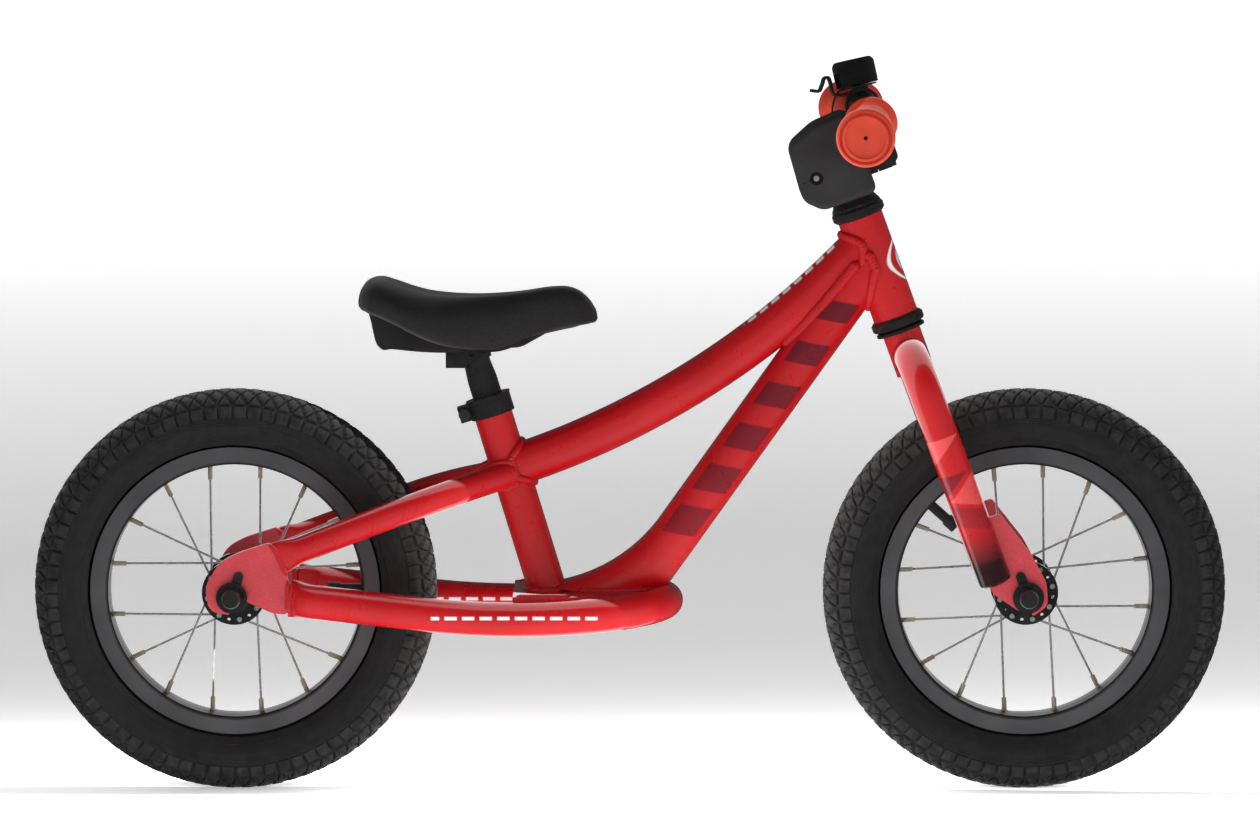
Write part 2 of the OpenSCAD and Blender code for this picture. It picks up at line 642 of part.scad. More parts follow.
leg_low = 19;
leg_y = leg_span / 2;
function leg_points(side) = [[0, side * 6, crown_low + 15], [1, side * leg_y, crown_low + 8],
    [2, side * leg_y, leg_low]];
module fork_legs() color("firebrick") difference() {
    on_head() for (side = [-1, 1]) difference() {
        union() {
            bent_tube(leg_points(side), [32], leg_d / 2, 1.8, [1, 0, 0]);
            translate([2, side * leg_y, leg_low - 2]) cylinder(h = 3, r = leg_d / 2 - 0.6);
        }
        translate([0, 0, crown_low - 10]) cylinder(h = 60, r = crown_r);
    }
    fork_dropout_plates();
}

// Outline of a fork dropout about its axle, in the frame of the steering axis
module fork_dropout_outline() difference() {
    polygon(rounded([[-10, 66], [1, 66], [13, 30], [16.5, 6], [12, -11], [-1, -14.5], [-11, -6], [-24, 12],
        [-24, 40]], [2, 3, 40, 14, 9, 3, 3, 10, 10]));
    dropout_slot(-28);
    translate([0, 16.5]) circle(r = 3.6);
}
module fork_dropout_plates() on_head() translate([fork_rake, 0, 0]) both_sides()
    plate_xz(-drop_out, -drop_in) fork_dropout_outline();
module fork_dropouts() color("indianred") fork_dropout_plates();

// Stem, handlebar and what is on it ----------------------------------------------------

bolt_r = 2.5;
face_u = stem_reach + 0.6;
face_t = 17;
pinch_u = -stem_r - 3.5;
face_bolt_v = bar_r + 3.6;

module bar_bore() rod(bar_centre - [0, 60, 0], bar_centre + [0, 60, 0], bar_r);

module stem() color([0.08, 0.08, 0.08]) difference() {
    on_head() union() {
        translate([0, 0, stem_low]) cylinder(h = stem_h, r = stem_r);
        translate([0, -clamp_half_w, bar_up - clamp_half_h]) cube([stem_reach, 2 * clamp_half_w, 2 * clamp_half_h]);
        translate([pinch_u - 5, -9, stem_low + 2]) cube([stem_r, 18, stem_h - 4]);
    }
    on_head() {
        translate([0, 0, stem_low - 10]) cylinder(h = 80, r = steerer_r);
        translate([0, 0, stem_top]) cylinder(h = 20, r = stem_r - 0.6);
        translate([pinch_u - 6, -1, stem_low - 1]) cube([stem_r, 2, stem_h + 2]);
        for (v = [stem_low + 10, stem_top - 10]) translate([pinch_u, -10, v]) rotate([-90, 0, 0])
            cylinder(h = 20, r = bolt_r);
        for (y = [-15, 15], v = [-face_bolt_v, face_bolt_v]) translate([stem_reach - 9, y, bar_up + v])
            rotate([0, 90, 0]) cylinder(h = 10, r = bolt_r);
    }
    bar_bore();
}

module stem_faceplate() color([0.08, 0.08, 0.08]) difference() {
    on_head() translate([face_u, 0, bar_up]) plate_xz(-clamp_half_w, clamp_half_w)
        polygon(rounded([[0, -clamp_half_h], [face_t - 6, -clamp_half_h], [face_t, 6 - clamp_half_h],
            [face_t, clamp_half_h - 6], [face_t - 6, clamp_half_h], [0, clamp_half_h]], [0, 4, 5, 5, 4, 0]));
    bar_bore();
    on_head() for (y = [-15, 15], v = [-face_bolt_v, face_bolt_v]) translate([face_u - 1, y, bar_up + v]) {
        rotate([0, 90, 0]) cylinder(h = face_t + 4, r = bolt_r);
        translate([face_t - 6, 0, 0]) rotate([0, 90, 0]) cylinder(h = 20, r = 4.4);
    }
}

// Socket bolt along +Z with its head's seat at height 0
module socket_bolt(shank, r, head_r, head_h) difference() {
    union() {
        translate([0, 0, -shank]) cylinder(h = shank, r = r);
        cylinder(h = head_h, r = head_r);
    }
    translate([0, 0, head_h - 2]) cylinder(h = 3, r = r * 0.9, $fn = 6);
}

module stem_bolts() color("dimgray") on_head() {
    for (y = [-15, 15], v = [-face_bolt_v, face_bolt_v])
        translate([face_u + face_t - 7, y, bar_up + v]) rotate([0, 90, 0]) socket_bolt(18, bolt_r, 4, 4);
    for (v = [stem_low + 10, stem_top - 10]) translate([pinch_u, -9, v]) rotate([90, 0, 0])
        socket_bolt(17, bolt_r, 4, 4);
    translate([0, 0, stem_top + 3]) socket_bolt(24, bolt_r, 5, 3);
}
module top_cap() color([0.08, 0.08, 0.08]) on_head() translate([0, 0, stem_top])
    tube(3, stem_r - 1, bolt_r);
module star_nut() color("silver") on_head() translate([0, 0, stem_top - 20])
    tube(8, steerer_r - steerer_wall, bolt_r);

bar_points = [other_side(bar_end), other_side(bar_high), other_side(bar_low), bar_low, bar_high, bar_end];
module handlebar() color([0.1, 0.1, 0.1])
    bent_tube(bar_points, [bar_bend, bar_bend, bar_bend, bar_bend], bar_r, bar_wall, [1, 0, 0], 28);

// Rubber grip with an inner flange, a waisted body and a big closed end
module grip_solid() rotate_extrude() polygon([[bar_r, 0], [bar_r + 7.9, 0], [bar_r + 8.4, 1], [bar_r + 8, 3.4],
    [bar_r + 4, 4.4], [bar_r + 3.2, 10], [bar_r + 3.9, grip_len * 0.5], [bar_r + 3.4, grip_len - 16],
    [bar_r + 5, grip_len - 11], [bar_r + 9, grip_len - 8], [bar_r + 9.9, grip_len - 5.5],
    [bar_r + 9.9, grip_len - 2], [bar_r + 8.5, grip_len], [1.5, grip_len], [1.5, grip_len - 4], [bar_r, grip_len - 4]]);
module grip_left() color("tomato") point_z(grip_start, grip_dir) grip_solid();
module grip_right() color("tomato") mirror([0, 1, 0]) point_z(grip_start, grip_dir) grip_solid();

// Soft pad that wraps the back, top and flanks of the stem
pad_half = clamp_half_w + 7;
pad_low = stem_low - 1;
pad_top = bar_up + clamp_half_h + 14;
module pad_outline() polygon(rounded([[-36, pad_low + 12], [-24, pad_low + 0.5], [18.5, pad_low + 0.5],
    [18.5, pad_top], [-10, pad_top - 1.5], [-33, pad_top - 11]], [12, 12, 3, 6, 30, 8]));
module stem_pad() color([0.17, 0.17, 0.17]) difference() {
    on_head() plate_xz(-pad_half, pad_half) pad_outline();
    on_head() {
        translate([-30, -clamp_half_w - 0.4, pad_low - 5])
            cube([60, 2 * clamp_half_w + 0.8, bar_up + clamp_half_h + 6 - pad_low]);
        for (side = [-1, 1]) translate([-21, side * pad_half, bar_up - 7]) rotate([90, 0, 0])
            cylinder(h = 30, r = 2.6, center = true);
        for (side = [-1, 1]) translate([-21, side * pad_half, bar_up - 7]) rotate([90, 0, 0])
            cylinder(h = 4, r = 5, center = true);
    }
    rod(bar_centre - [0, 60, 0], bar_centre + [0, 60, 0], bar_r + 0.4);
}
module pad_studs() color("gray") on_head() for (side = [-1, 1])
    translate([-21, side * (pad_half - 2), bar_up - 7]) rotate([side * -90, 0, 0]) {
        translate([0, 0, -4]) cylinder(h = 4, r = 2.6);
        cylinder(h = 1.6, r = 4);
    }

// Bell: a band round the bar carries the base disc, the dome and the pin of the thumb lever
module bell_base() color([0.06, 0.06, 0.06]) on_bell() difference() {
    union() {
        rotate([90, 0, 0]) cylinder(h = 11, r = bar_r + 2.5, center = true);
        translate([-5, -5.5, bar_r]) cube([12, 11, bell_rise - bar_r]);
        translate([0, 0, bell_rise - 0.3]) cylinder(h = 1.3, r = bell_r - 1.6);
        translate([0, 0, bell_rise]) cylinder(h = bell_h + 0.6, r = 2.5);
        translate([lever_pin.x, 0, lever_pin.z]) rotate([90, 0, 0]) cylinder(h = 15, r = 1.5, center = true);
        translate([lever_pin.x - 1.5, -5.5, lever_pin.z - 1.5]) cube([6, 11, 3]);
    }
    rotate([90, 0, 0]) cylinder(h = 20, r = bar_r, center = true);
}
module bell_dome() color("black") on_bell() translate([0, 0, bell_rise + 1.4]) rotate_extrude()
    polygon([[bell_r - 1.4, 0], [bell_r, 0], [bell_r, bell_h - 3.5], [bell_r - 1, bell_h - 1.2],
        [bell_r - 3, bell_h], [7.5, bell_h], [7, bell_h - 0.8], [2.5, bell_h - 0.8], [2.5, bell_h - 2.4],
        [bell_r - 3.6, bell_h - 2.4], [bell_r - 1.6, bell_h - 4.2]]);
// Thumb lever: two ears on the pin and an S-shaped blade behind the bell
module bell_lever() color([0.06, 0.06, 0.06]) on_bell() translate(lever_pin) difference() {
    union() {
        for (side = [-1, 1]) translate([0, side * 6.9, 0]) rotate([90, 0, 0]) cylinder(h = 2, r = 2.6, center = true);
        for (side = [-1, 1]) translate([-12, side * 6.9 - 1, -1.2]) cube([12, 2, 2.4]);
        plate_xz(-7.9, 7.9) polygon(rounded([[-8, 1.2], [-9.8, 3], [-9.8, 13], [-13, 17], [-14.6, 16.6],
            [-21, 7.4], [-26.5, 9.2], [-27.3, 7.6], [-21.5, 5], [-13.5, 14.4], [-12.2, 12.5], [-12.2, -1.2],
            [-8, -1.2]], [0, 1, 2, 0.6, 0.8, 2, 0.4, 0.4, 2.5, 0.5, 1, 1.5, 0]));
    }
    rotate([90, 0, 0]) cylinder(h = 20, r = 1.5 + run_gap, center = true);
}

// Seat ---------------------------------------------------------------------------------

ring_low = seat_tube_len - 14;
ring_h = 15;
ring_lobe = -(seat_tube_r + 6);
module seat_clamp_ring() color([0.08, 0.08, 0.08]) on_seat() difference() {
    union() {
        translate([0, 0, ring_low]) cylinder(h = ring_h, r = seat_tube_r + 2.3);
        translate([ring_lobe - 4, -7, ring_low + 1]) cube([14, 14, ring_h - 3]);
        translate([0, 0, ring_low + ring_h - 1.2]) cylinder(h = 1.2, r = seat_tube_r + 2.8);
    }
    translate([0, 0, ring_low - 5]) cylinder(h = ring_h + 4, r = seat_tube_r);
    translate([0, 0, ring_low]) cylinder(h = ring_h + 4, r = post_r + 0.6);
    translate([ring_lobe - 5, -1.2, ring_low - 1]) cube([20, 2.4, ring_h + 2]);
    translate([ring_lobe, 0, ring_low + 7]) rotate([90, 0, 0]) cylinder(h = 20, r = bolt_r, center = true);
}
module seat_clamp_bolt() color("silver") on_seat() translate([ring_lobe, -7, ring_low + 7]) rotate([90, 0, 0])
    socket_bolt(13, bolt_r, 4.2, 4.5);

post_top = seat_tube_len + 38;
module seatpost() color([0.1, 0.1, 0.1]) on_seat() difference() {
    union() {
        translate([0, 0, seat_tube_len - post_depth])
            cylinder(h = post_top - 24 - seat_tube_len + post_depth, r = post_r);
        translate([0, 0, post_top - 24]) cylinder(h = 12, r1 = post_r, r2 = post_r - 1.1);
        translate([0, 0, post_top - 12]) cylinder(h = 7, r = post_r - 1.1);
    }
    translate([0, 0, seat_tube_len - post_depth - 1]) cylinder(h = post_depth + 60, r = post_r - 3);
}

// Saddle frame: origin at the top of the post, X forward and Z up
saddle_at = seat_foot + post_top * seat_dir;
module on_saddle() translate(saddle_at) children();
clamp_r = post_r + 0.8;
saddle_bolt_z = -1.2;
rail_gap = 34;
module saddle_bracket() color("dimgray") difference() {
    union() {
        on_seat() translate([0, 0, post_top - 9]) cylinder(h = 8, r = clamp_r);
        on_saddle() translate([-20, -9, -14]) cube([16, 18, 11]);
        on_saddle() translate([0, 0, saddle_bolt_z]) rotate([90, 0, 0])
            cylinder(h = rail_gap + 12, r = 7, center = true);
    }
    on_seat() translate([0, 0, post_top - 20]) cylinder(h = 15, r = post_r - 1.1);
    on_saddle() translate([0, 0, saddle_bolt_z]) rotate([90, 0, 0]) cylinder(h = 80, r = 3, center = true);
    on_saddle() for (side = [-1, 1]) rod([-60, side * rail_gap / 2, 5], [60, side * rail_gap / 2, 5], 3);
}
module saddle_bolt() color("silver") on_saddle() translate([0, -rail_gap / 2 - 6, saddle_bolt_z])
    rotate([90, 0, 0]) socket_bolt(rail_gap + 16, 3, 5, 5);
module saddle_rails() color("dimgray") on_saddle() for (side = [-1, 1]) {
    y = side * rail_gap / 2;
    bent_rod([[-62, y, 24], [-40, y, 5], [35, y, 5], [52, y * 0.6, 14]], [14, 14], 3, [0, 1, 0], 14);
}

// Side and plan outlines of the saddle, about the top of the post
function saddle_top() = [[-84, 44], [-78, 53.5], [-60, 52], [-35, 43], [0, 42.5], [50, 47], [76, 48],
    [92, 31], [92, 21]];
module saddle_side() polygon(rounded(concat([[-86, 38]], saddle_top(), [[62, 16], [20, 5], [-32, 8], [-60, 20]]),
    [6, 8, 8, 40, 60, 60, 60, 16, 10, 6, 30, 20, 30, 20], 6));
module saddle_plan() polygon(rounded([[-88, -34], [-66, -saddle_w / 2], [-30, -saddle_w / 2], [10, -24],
    [60, -22], [94, -16], [94, 16], [60, 22], [10, 24], [-30, saddle_w / 2], [-66, saddle_w / 2], [-88, 34]],
    [20, 24, 30, 60, 60, 15, 15, 60, 60, 30, 24, 20], 6));
module saddle_split() polygon([[-100, 36], [-60, 28], [-32, 19], [20, 16], [62, 24], [110, 26],
    [110, -30], [-100, -30]]);
module saddle_cover() color([0.2, 0.2, 0.21]) on_saddle() difference() {
    intersection() {
        plate_xz(-saddle_w, saddle_w) saddle_side();
        linear_extrude(height = 80) saddle_plan();
    }
    plate_xz(-saddle_w, saddle_w) saddle_split();
}
module saddle_base() color([0.05, 0.05, 0.05]) on_saddle() difference() {
    intersection() {
        plate_xz(-saddle_w, saddle_w) saddle_side();
        linear_extrude(height = 80) saddle_plan();
        plate_xz(-saddle_w, saddle_w) saddle_split();
    }
    translate([-62, -30, -10]) cube([100, 60, 24.5]);
    both_sides() translate([0, rail_gap / 2, 0]) rotate([90, 0, 0])
        linear_extrude(height = 7, center = true) polygon([[-67, 0], [-67, 28], [-56, 28], [-40, 14], [-40, 0]]);
    both_sides() linear_extrude(height = 17.5) polygon([[37, rail_gap / 2 - 5], [58, 0.23 * rail_gap - 4.2],
        [58, 0.23 * rail_gap + 4.4], [37, rail_gap / 2 + 3.6]]);
}

// --------------------------------------------------------------------------------------

head_tube();
top_tube();
down_tube();
seat_tube();
footrest_tube();
footrest_plate();
seat_stays();
rear_dropouts();
headset_cups();
headset_bearings();
seat_clamp_ring();
seat_clamp_bolt();
rear_axle();
rear_axle_spacers();
rear_axle_nuts();
rear_safety_washers();
fork_steerer();
fork_legs();
fork_dropouts();
crown_race();
headset_dust_cover();
stem();
stem_faceplate();
stem_bolts();
top_cap();
star_nut();
handlebar();
grip_right();
grip_left();
stem_pad();
pad_studs();
bell_base();
bell_dome();
bell_lever();
front_axle();
front_axle_spacers();
front_axle_nuts();
front_safety_washers();
front_hub();
front_hub_bearings();
front_spokes();
front_nipples();
front_rim();
front_rim_tape();
front_inner_tube();
front_tyre();
rear_hub();
rear_hub_bearings();
rear_spokes();
rear_nipples();
rear_rim();
rear_rim_tape();
rear_inner_tube();
rear_tyre();
seatpost();
saddle_bracket();
saddle_bolt();
saddle_rails();
saddle_base();
saddle_cover();
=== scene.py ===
# %% [markdown]
# # A balance bike: the looks
# The design model already holds every tube, wheel and bolt at its real size and place. This lesson
# adds what the eye needs: paint, rubber tread, weld beads, a soft saddle and studio light. Each step
# first says what the piece is on the real bike, then how it could be made and why one way was chosen.
# Everything is in metres: X runs forward, Y to the rider's left, Z up, and the ground is at Z = 0.

import json
import math

import bmesh
import bpy
import numpy as np
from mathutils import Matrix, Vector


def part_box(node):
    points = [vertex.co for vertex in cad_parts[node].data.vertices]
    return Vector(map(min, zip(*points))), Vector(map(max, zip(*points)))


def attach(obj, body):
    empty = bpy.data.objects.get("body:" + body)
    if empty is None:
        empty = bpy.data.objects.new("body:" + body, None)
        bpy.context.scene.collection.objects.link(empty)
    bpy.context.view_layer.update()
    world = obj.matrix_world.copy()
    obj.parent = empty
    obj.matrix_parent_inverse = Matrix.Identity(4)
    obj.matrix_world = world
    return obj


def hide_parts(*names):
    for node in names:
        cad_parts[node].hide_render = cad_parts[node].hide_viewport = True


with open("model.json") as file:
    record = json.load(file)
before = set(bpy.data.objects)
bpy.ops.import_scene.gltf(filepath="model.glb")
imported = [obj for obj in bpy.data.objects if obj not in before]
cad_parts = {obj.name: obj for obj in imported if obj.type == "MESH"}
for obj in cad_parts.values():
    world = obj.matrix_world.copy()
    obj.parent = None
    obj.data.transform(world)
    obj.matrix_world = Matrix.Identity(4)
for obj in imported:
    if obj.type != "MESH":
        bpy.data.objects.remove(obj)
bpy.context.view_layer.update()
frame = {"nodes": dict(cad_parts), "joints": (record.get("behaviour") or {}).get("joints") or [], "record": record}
nodes = frame["nodes"]
joints = {joint["name"]: joint for joint in frame["joints"]}

# %% [markdown]
# ## Places that the design gives
# A new piece has to sit exactly on the bike, so its place is worked out from the joints and boxes of
# the design model. The steering axis is the most useful one: the fork, stem, bar, grips, bell and pad
# are all drawn from it with three numbers: forward of the axis, to the left, and up along it.

# %% Directions, axles and the two leaning axes
FORWARD, LEFT, UP = np.eye(3)


def unit(vectors):
    """Each vector divided by its own length, for one vector or an array of them."""
    vectors = np.asarray(vectors, float)
    return vectors / np.linalg.norm(vectors, axis=-1, keepdims=True)


def joint_point(name):
    return np.array(joints[name]["pos_m"], float)


def box_of(node):
    return [np.array(corner, float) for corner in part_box(node)]


front_axle, rear_axle = joint_point("front_wheel_spin"), joint_point("rear_wheel_spin")
steer_dir = unit(joints["steering"]["axis"])
steer_fore = np.array([steer_dir[2], 0, -steer_dir[0]])
steer_foot = joint_point("steering")
steer_foot = steer_foot + steer_dir * (steer_dir @ (front_axle - steer_foot))
seat_dir = unit(joints["seat_height"]["axis"])
seat_fore = np.array([seat_dir[2], 0, -seat_dir[0]])
plate_low, plate_high = box_of("footrest_plate")
plate_top = plate_high[2]
seat_foot = np.array([rear_axle[0] + 0.233, 0, plate_top])


def at_head(fore, left, up):
    """Point given forward of the steering axis, to the left of it and up along it."""
    return steer_foot + fore * steer_fore + left * LEFT + up * steer_dir


def at_seat(up, fore=0.0, left=0.0):
    """Point given up along the seat tube from the footrest, forward of it and to its left."""
    return seat_foot + up * seat_dir + fore * seat_fore + left * LEFT


print("wheelbase:", round(front_axle[0] - rear_axle[0], 3), "steering foot:", steer_foot.round(4))

# %% [markdown]
# ## Camera, floor and studio light
# A long lens far away keeps the two wheels nearly the same size, as a catalogue picture does. The
# floor curves up into a wall on all sides, so no horizon cuts the picture. Glossy tubes show what stands
# round them, so the light is a few large soft boxes, long in the direction of the bike: each one
# draws one clean streak along every tube.

# %% Camera
CAMERA_DISTANCE = 4.3
CAMERA_RAISE = math.radians(6.3)
camera_target = np.array([0, 0, 0.2769])
camera_data = bpy.data.cameras.new("camera")
camera_data.lens = 164.5
camera_data.sensor_width = 36
camera = bpy.data.objects.new("camera", camera_data)
camera_way = np.array([0, -math.cos(CAMERA_RAISE), math.sin(CAMERA_RAISE)])
camera.location = camera_target + CAMERA_DISTANCE * camera_way
camera.rotation_euler = (math.pi / 2 - CAMERA_RAISE, 0, 0)
bpy.context.scene.collection.objects.link(camera)
bpy.context.scene.camera = camera
bpy.context.scene.view_settings.view_transform = "Standard"
print("camera at", [round(x, 3) for x in camera.location])


# %% Soft boxes and the world
def soft_box(name, place, aim, width, height, radiance, colour=(1, 1, 1)):
    """Rectangular light at place that faces aim; its power is radiance times pi times its area."""
    data = bpy.data.lights.new(name, "AREA")
    data.shape = "RECTANGLE"
    data.size, data.size_y = width, height
    data.energy = radiance * math.pi * width * height
    data.color = colour
    light = bpy.data.objects.new(name, data)
    light.visible_camera = False
    back = unit(np.array(place, float) - np.array(aim, float))
    side = unit(np.cross(FORWARD, back)) if abs(back[0]) < 0.9 else LEFT
    across = np.cross(side, back)
    light.matrix_world = [[-across[k], side[k], back[k], place[k]] for k in range(3)] + [[0, 0, 0, 1]]
    bpy.context.scene.collection.objects.link(light)


middle = (0, 0, 0.25)
soft_box("key", (0.2, -2.1, 2.0), middle, 3.4, 0.42, 3.9)
soft_box("low_strip", (-0.2, -2.7, 0.55), middle, 3.4, 0.16, 1.5)
soft_box("overhead", (0, 0.2, 3.2), middle, 4.0, 1.6, 1.5)
soft_box("rear_left", (-2.6, 1.8, 1.5), middle, 1.4, 1.0, 1.0)
soft_box("rear_right", (2.8, 1.6, 1.4), middle, 1.4, 1.0, 1.0)

world = bpy.data.worlds.new("studio")
world.use_nodes = True
world.node_tree.nodes["Background"].inputs["Color"].default_value = (1, 1, 1, 1)
world.node_tree.nodes["Background"].inputs["Strength"].default_value = 0.06
bpy.context.scene.world = world

# %% [markdown]
# ## Two helpers that turn arrays into pieces
# Every new surface in this lesson is a grid of points worked out by a formula, so one function names
# the faces of any grid, and one puts points and faces in a mesh. Doubled points at poles and seams
# are merged there, and the faces are turned outwards, so each piece is a clean closed shell.


# %% Grid faces and new pieces
def grid_faces(rows, columns, closed_rows=False, closed_columns=True):
    """Four-cornered faces of a grid of points, numbered row by row."""
    row = np.arange(rows if closed_rows else rows - 1)[:, None]
    column = np.arange(columns if closed_columns else columns - 1)[None, :]
    next_row, next_column = (row + 1) % rows, (column + 1) % columns
    corners = [row * columns + column, next_row * columns + column,
               next_row * columns + next_column, row * columns + next_column]
    return np.stack(corners, -1).reshape(-1, 4).tolist()


def end_caps(rows, columns):
    """One many-sided face on the first ring and one on the last."""
    return [list(range(columns)), list(range((rows - 1) * columns, rows * columns))[::-1]]


def add_piece(name, points, faces, body, material, sharp=35):
    """New piece from an array of points and its faces, merged, closed and facing outwards."""
    mesh = bpy.data.meshes.new(name)
    mesh.from_pydata(np.asarray(points, float).reshape(-1, 3).tolist(), [], faces)
    clean = bmesh.new()
    clean.from_mesh(mesh)
    bmesh.ops.remove_doubles(clean, verts=clean.verts, dist=1e-6)
    bmesh.ops.recalc_face_normals(clean, faces=clean.faces)
    clean.to_mesh(mesh)
    clean.free()
    mesh.shade_smooth()
    mesh.set_sharp_from_angle(angle=math.radians(sharp))
    piece = bpy.data.objects.new(name, mesh)
    piece.data.materials.append(material)
    bpy.context.scene.collection.objects.link(piece)
    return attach(piece, body)


def tube_piece(name, rings, body, material, sharp=35):
    """Piece skinned over rings, with its two ends capped."""
    rows, columns = rings.shape[:2]
    faces = grid_faces(rows, columns) + end_caps(rows, columns)
    return add_piece(name, rings, faces, body, material, sharp)


print("helpers ready")

# %% [markdown]
# ## Node trees in a few words
# Every finish here is procedural. A small helper adds a node, sets its values and links what is a
# socket, so each material below reads as a short recipe. Patterns use Object coordinates: the pieces
# all sit at the origin, so one unit of the pattern is one metre of the bike.


# %% Recipe helpers
def new_material(name, **values):
    """Material whose Principled shader has the values given; spaces in names are underscores."""
    material = bpy.data.materials.new(name)
    material.use_nodes = True
    shader = material.node_tree.nodes["Principled BSDF"]
    for key, value in values.items():
        shader.inputs[key.replace("_", " ")].default_value = value
    return material, material.node_tree, shader


def add(tree, kind, inputs=(), **settings):
    """New node; inputs maps a socket's name or number to a value or to another node's socket."""
    node = tree.nodes.new(kind)
    for key, value in settings.items():
        setattr(node, key, value)
    for key, value in dict(inputs).items():
        if isinstance(value, bpy.types.NodeSocket):
            tree.links.new(value, node.inputs[key])
        else:
            node.inputs[key].default_value = value
    return node


def math_node(tree, operation, *values):
    """Result of a Math node on up to three values or sockets."""
    return add(tree, "ShaderNodeMath", enumerate(values), operation=operation).outputs[0]


def place_in(tree):
    return add(tree, "ShaderNodeTexCoord").outputs["Object"]


def noise(tree, scale, detail=3.0, stretch=(1, 1, 1), rough=0.5):
    """Smooth random value from 0 to 1, with scale features to the metre."""
    mapping = add(tree, "ShaderNodeMapping", {"Vector": place_in(tree), "Scale": stretch})
    values = {"Vector": mapping.outputs[0], "Scale": scale, "Detail": detail, "Roughness": rough}
    return add(tree, "ShaderNodeTexNoise", values).outputs["Fac"]


def spread(tree, value, low, high, out_low=0.0, out_high=1.0):
    """Value moved from the range low..high to out_low..out_high and held inside it."""
    inputs = {"Value": value, "From Min": low, "From Max": high, "To Min": out_low, "To Max": out_high}
    return add(tree, "ShaderNodeMapRange", inputs).outputs["Result"]


def mixed(tree, share, first, second):
    """Colour between first and second; share is 0 for the first."""
    mix = add(tree, "ShaderNodeMix", data_type="RGBA")
    for socket, value in zip((mix.inputs[0], mix.inputs[6], mix.inputs[7]), (share, first, second)):
        if isinstance(value, bpy.types.NodeSocket):
            tree.links.new(value, socket)
        else:
            socket.default_value = value
    return mix.outputs[2]


def rough_by(tree, shader, value):
    tree.links.new(value, shader.inputs["Roughness"])


def colour_by(tree, shader, value):
    tree.links.new(value, shader.inputs["Base Color"])


def raise_by(tree, shader, height, distance, strength=1.0):
    """Bump from a height value; distance is the real height in metres that 1 stands for."""
    bump = add(tree, "ShaderNodeBump", {"Height": height, "Distance": distance, "Strength": strength})
    tree.links.new(bump.outputs[0], shader.inputs["Normal"])


def along(tree, point, direction):
    """Distance of the shaded point beyond a point, measured in a direction, in metres."""
    offset = add(tree, "ShaderNodeVectorMath", {0: place_in(tree), 1: tuple(point)}, operation="SUBTRACT")
    dot = add(tree, "ShaderNodeVectorMath", {0: offset.outputs[0], 1: tuple(direction)},
              operation="DOT_PRODUCT")
    return dot.outputs["Value"]


def between(tree, value, low, high, edge=0.0004):
    """1 where the value lies between low and high, with a soft edge."""
    rising = spread(tree, value, low - edge, low + edge)
    falling = spread(tree, value, high - edge, high + edge, 1.0, 0.0)
    return math_node(tree, "MULTIPLY", rising, falling)


def from_axle(tree, axle):
    """Distance of the shaded point from a wheel's axle, in the plane of the wheel."""
    across = along(tree, axle, FORWARD)
    upward = along(tree, axle, UP)
    squares = math_node(tree, "MULTIPLY_ADD", across, across, math_node(tree, "MULTIPLY", upward, upward))
    return math_node(tree, "SQRT", squares)


print("recipe helpers ready")

# %% [markdown]
# ## Paint
# The frame has a deep red coat under a clear lacquer. In Blender the Principled shader's Coat is that
# lacquer: it gives sharp streaks over a softer body colour. Real paint is never one flat value, so a
# large slow noise shifts the red a little, and a very fine one gives the orange-peel of sprayed paint.
# Graphics are masks made of distances along the tube, mixed into the body colour under the lacquer.

# %% Red paint with an optional graphic
RED = (0.56, 0.004, 0.008, 1)
DEEP_RED = (0.40, 0.002, 0.005, 1)
MAROON = (0.085, 0.004, 0.012, 1)
WHITE = (0.85, 0.84, 0.84, 1)


def red_paint(name, graphic=None):
    """Lacquered red; graphic takes the node tree and the red and gives back the marked colour."""
    material, tree, shader = new_material(name, Metallic=0.0, Coat_Weight=1.0, Coat_Roughness=0.04,
                                          Specular_IOR_Level=0.55)
    colour = mixed(tree, spread(tree, noise(tree, 9, 2), 0.3, 0.7), RED, DEEP_RED)
    colour_by(tree, shader, graphic(tree, colour) if graphic else colour)
    rough_by(tree, shader, spread(tree, noise(tree, 60, 4), 0.2, 0.8, 0.24, 0.34))
    raise_by(tree, shader, noise(tree, 420, 2), 0.00006, 0.35)
    return material


def satin_red(name):
    """Thinner satin coat on the flat cut plates, pinker and mottled."""
    material, tree, shader = new_material(name, Coat_Weight=0.35, Coat_Roughness=0.22)
    speckle = spread(tree, noise(tree, 900, 3, rough=0.7), 0.35, 0.7)
    cloud = spread(tree, noise(tree, 70, 4), 0.3, 0.75)
    colour = mixed(tree, speckle, (0.46, 0.022, 0.034, 1), (0.60, 0.05, 0.065, 1))
    dusk = math_node(tree, "MULTIPLY", cloud, 0.4)
    colour_by(tree, shader, mixed(tree, dusk, colour, (0.38, 0.012, 0.02, 1)))
    rough_by(tree, shader, spread(tree, cloud, 0, 1, 0.38, 0.52))
    raise_by(tree, shader, speckle, 0.00008, 0.5)
    return material


print("paint recipes ready")

# %% [markdown]
# ## Metals, rubbers and plastics
# Black parts differ mostly in how sharp their streaks are: lacquered bolts are sharp, anodised alloy
# is satin, moulded plastic is soft. Each has fine grain at its true scale, from a quarter of a
# millimetre on blasted alloy to a few millimetres of slow cloud where fingers and dust have been.


# %% Satin and gloss finishes
def coated(name, dark, light, rough, grain, height, coat=0.0, metallic=0.0, cloud=45):
    """Two close tones mixed by a slow cloud, a roughness range and a fine grain of given height."""
    material, tree, shader = new_material(name, Metallic=metallic, Coat_Weight=coat, Coat_Roughness=0.08)
    patches = spread(tree, noise(tree, cloud, 4), 0.3, 0.7)
    colour_by(tree, shader, mixed(tree, patches, (*dark, 1), (*light, 1)))
    rough_by(tree, shader, spread(tree, patches, 0, 1, *rough))
    raise_by(tree, shader, noise(tree, grain, 2), height, 0.6)
    return material


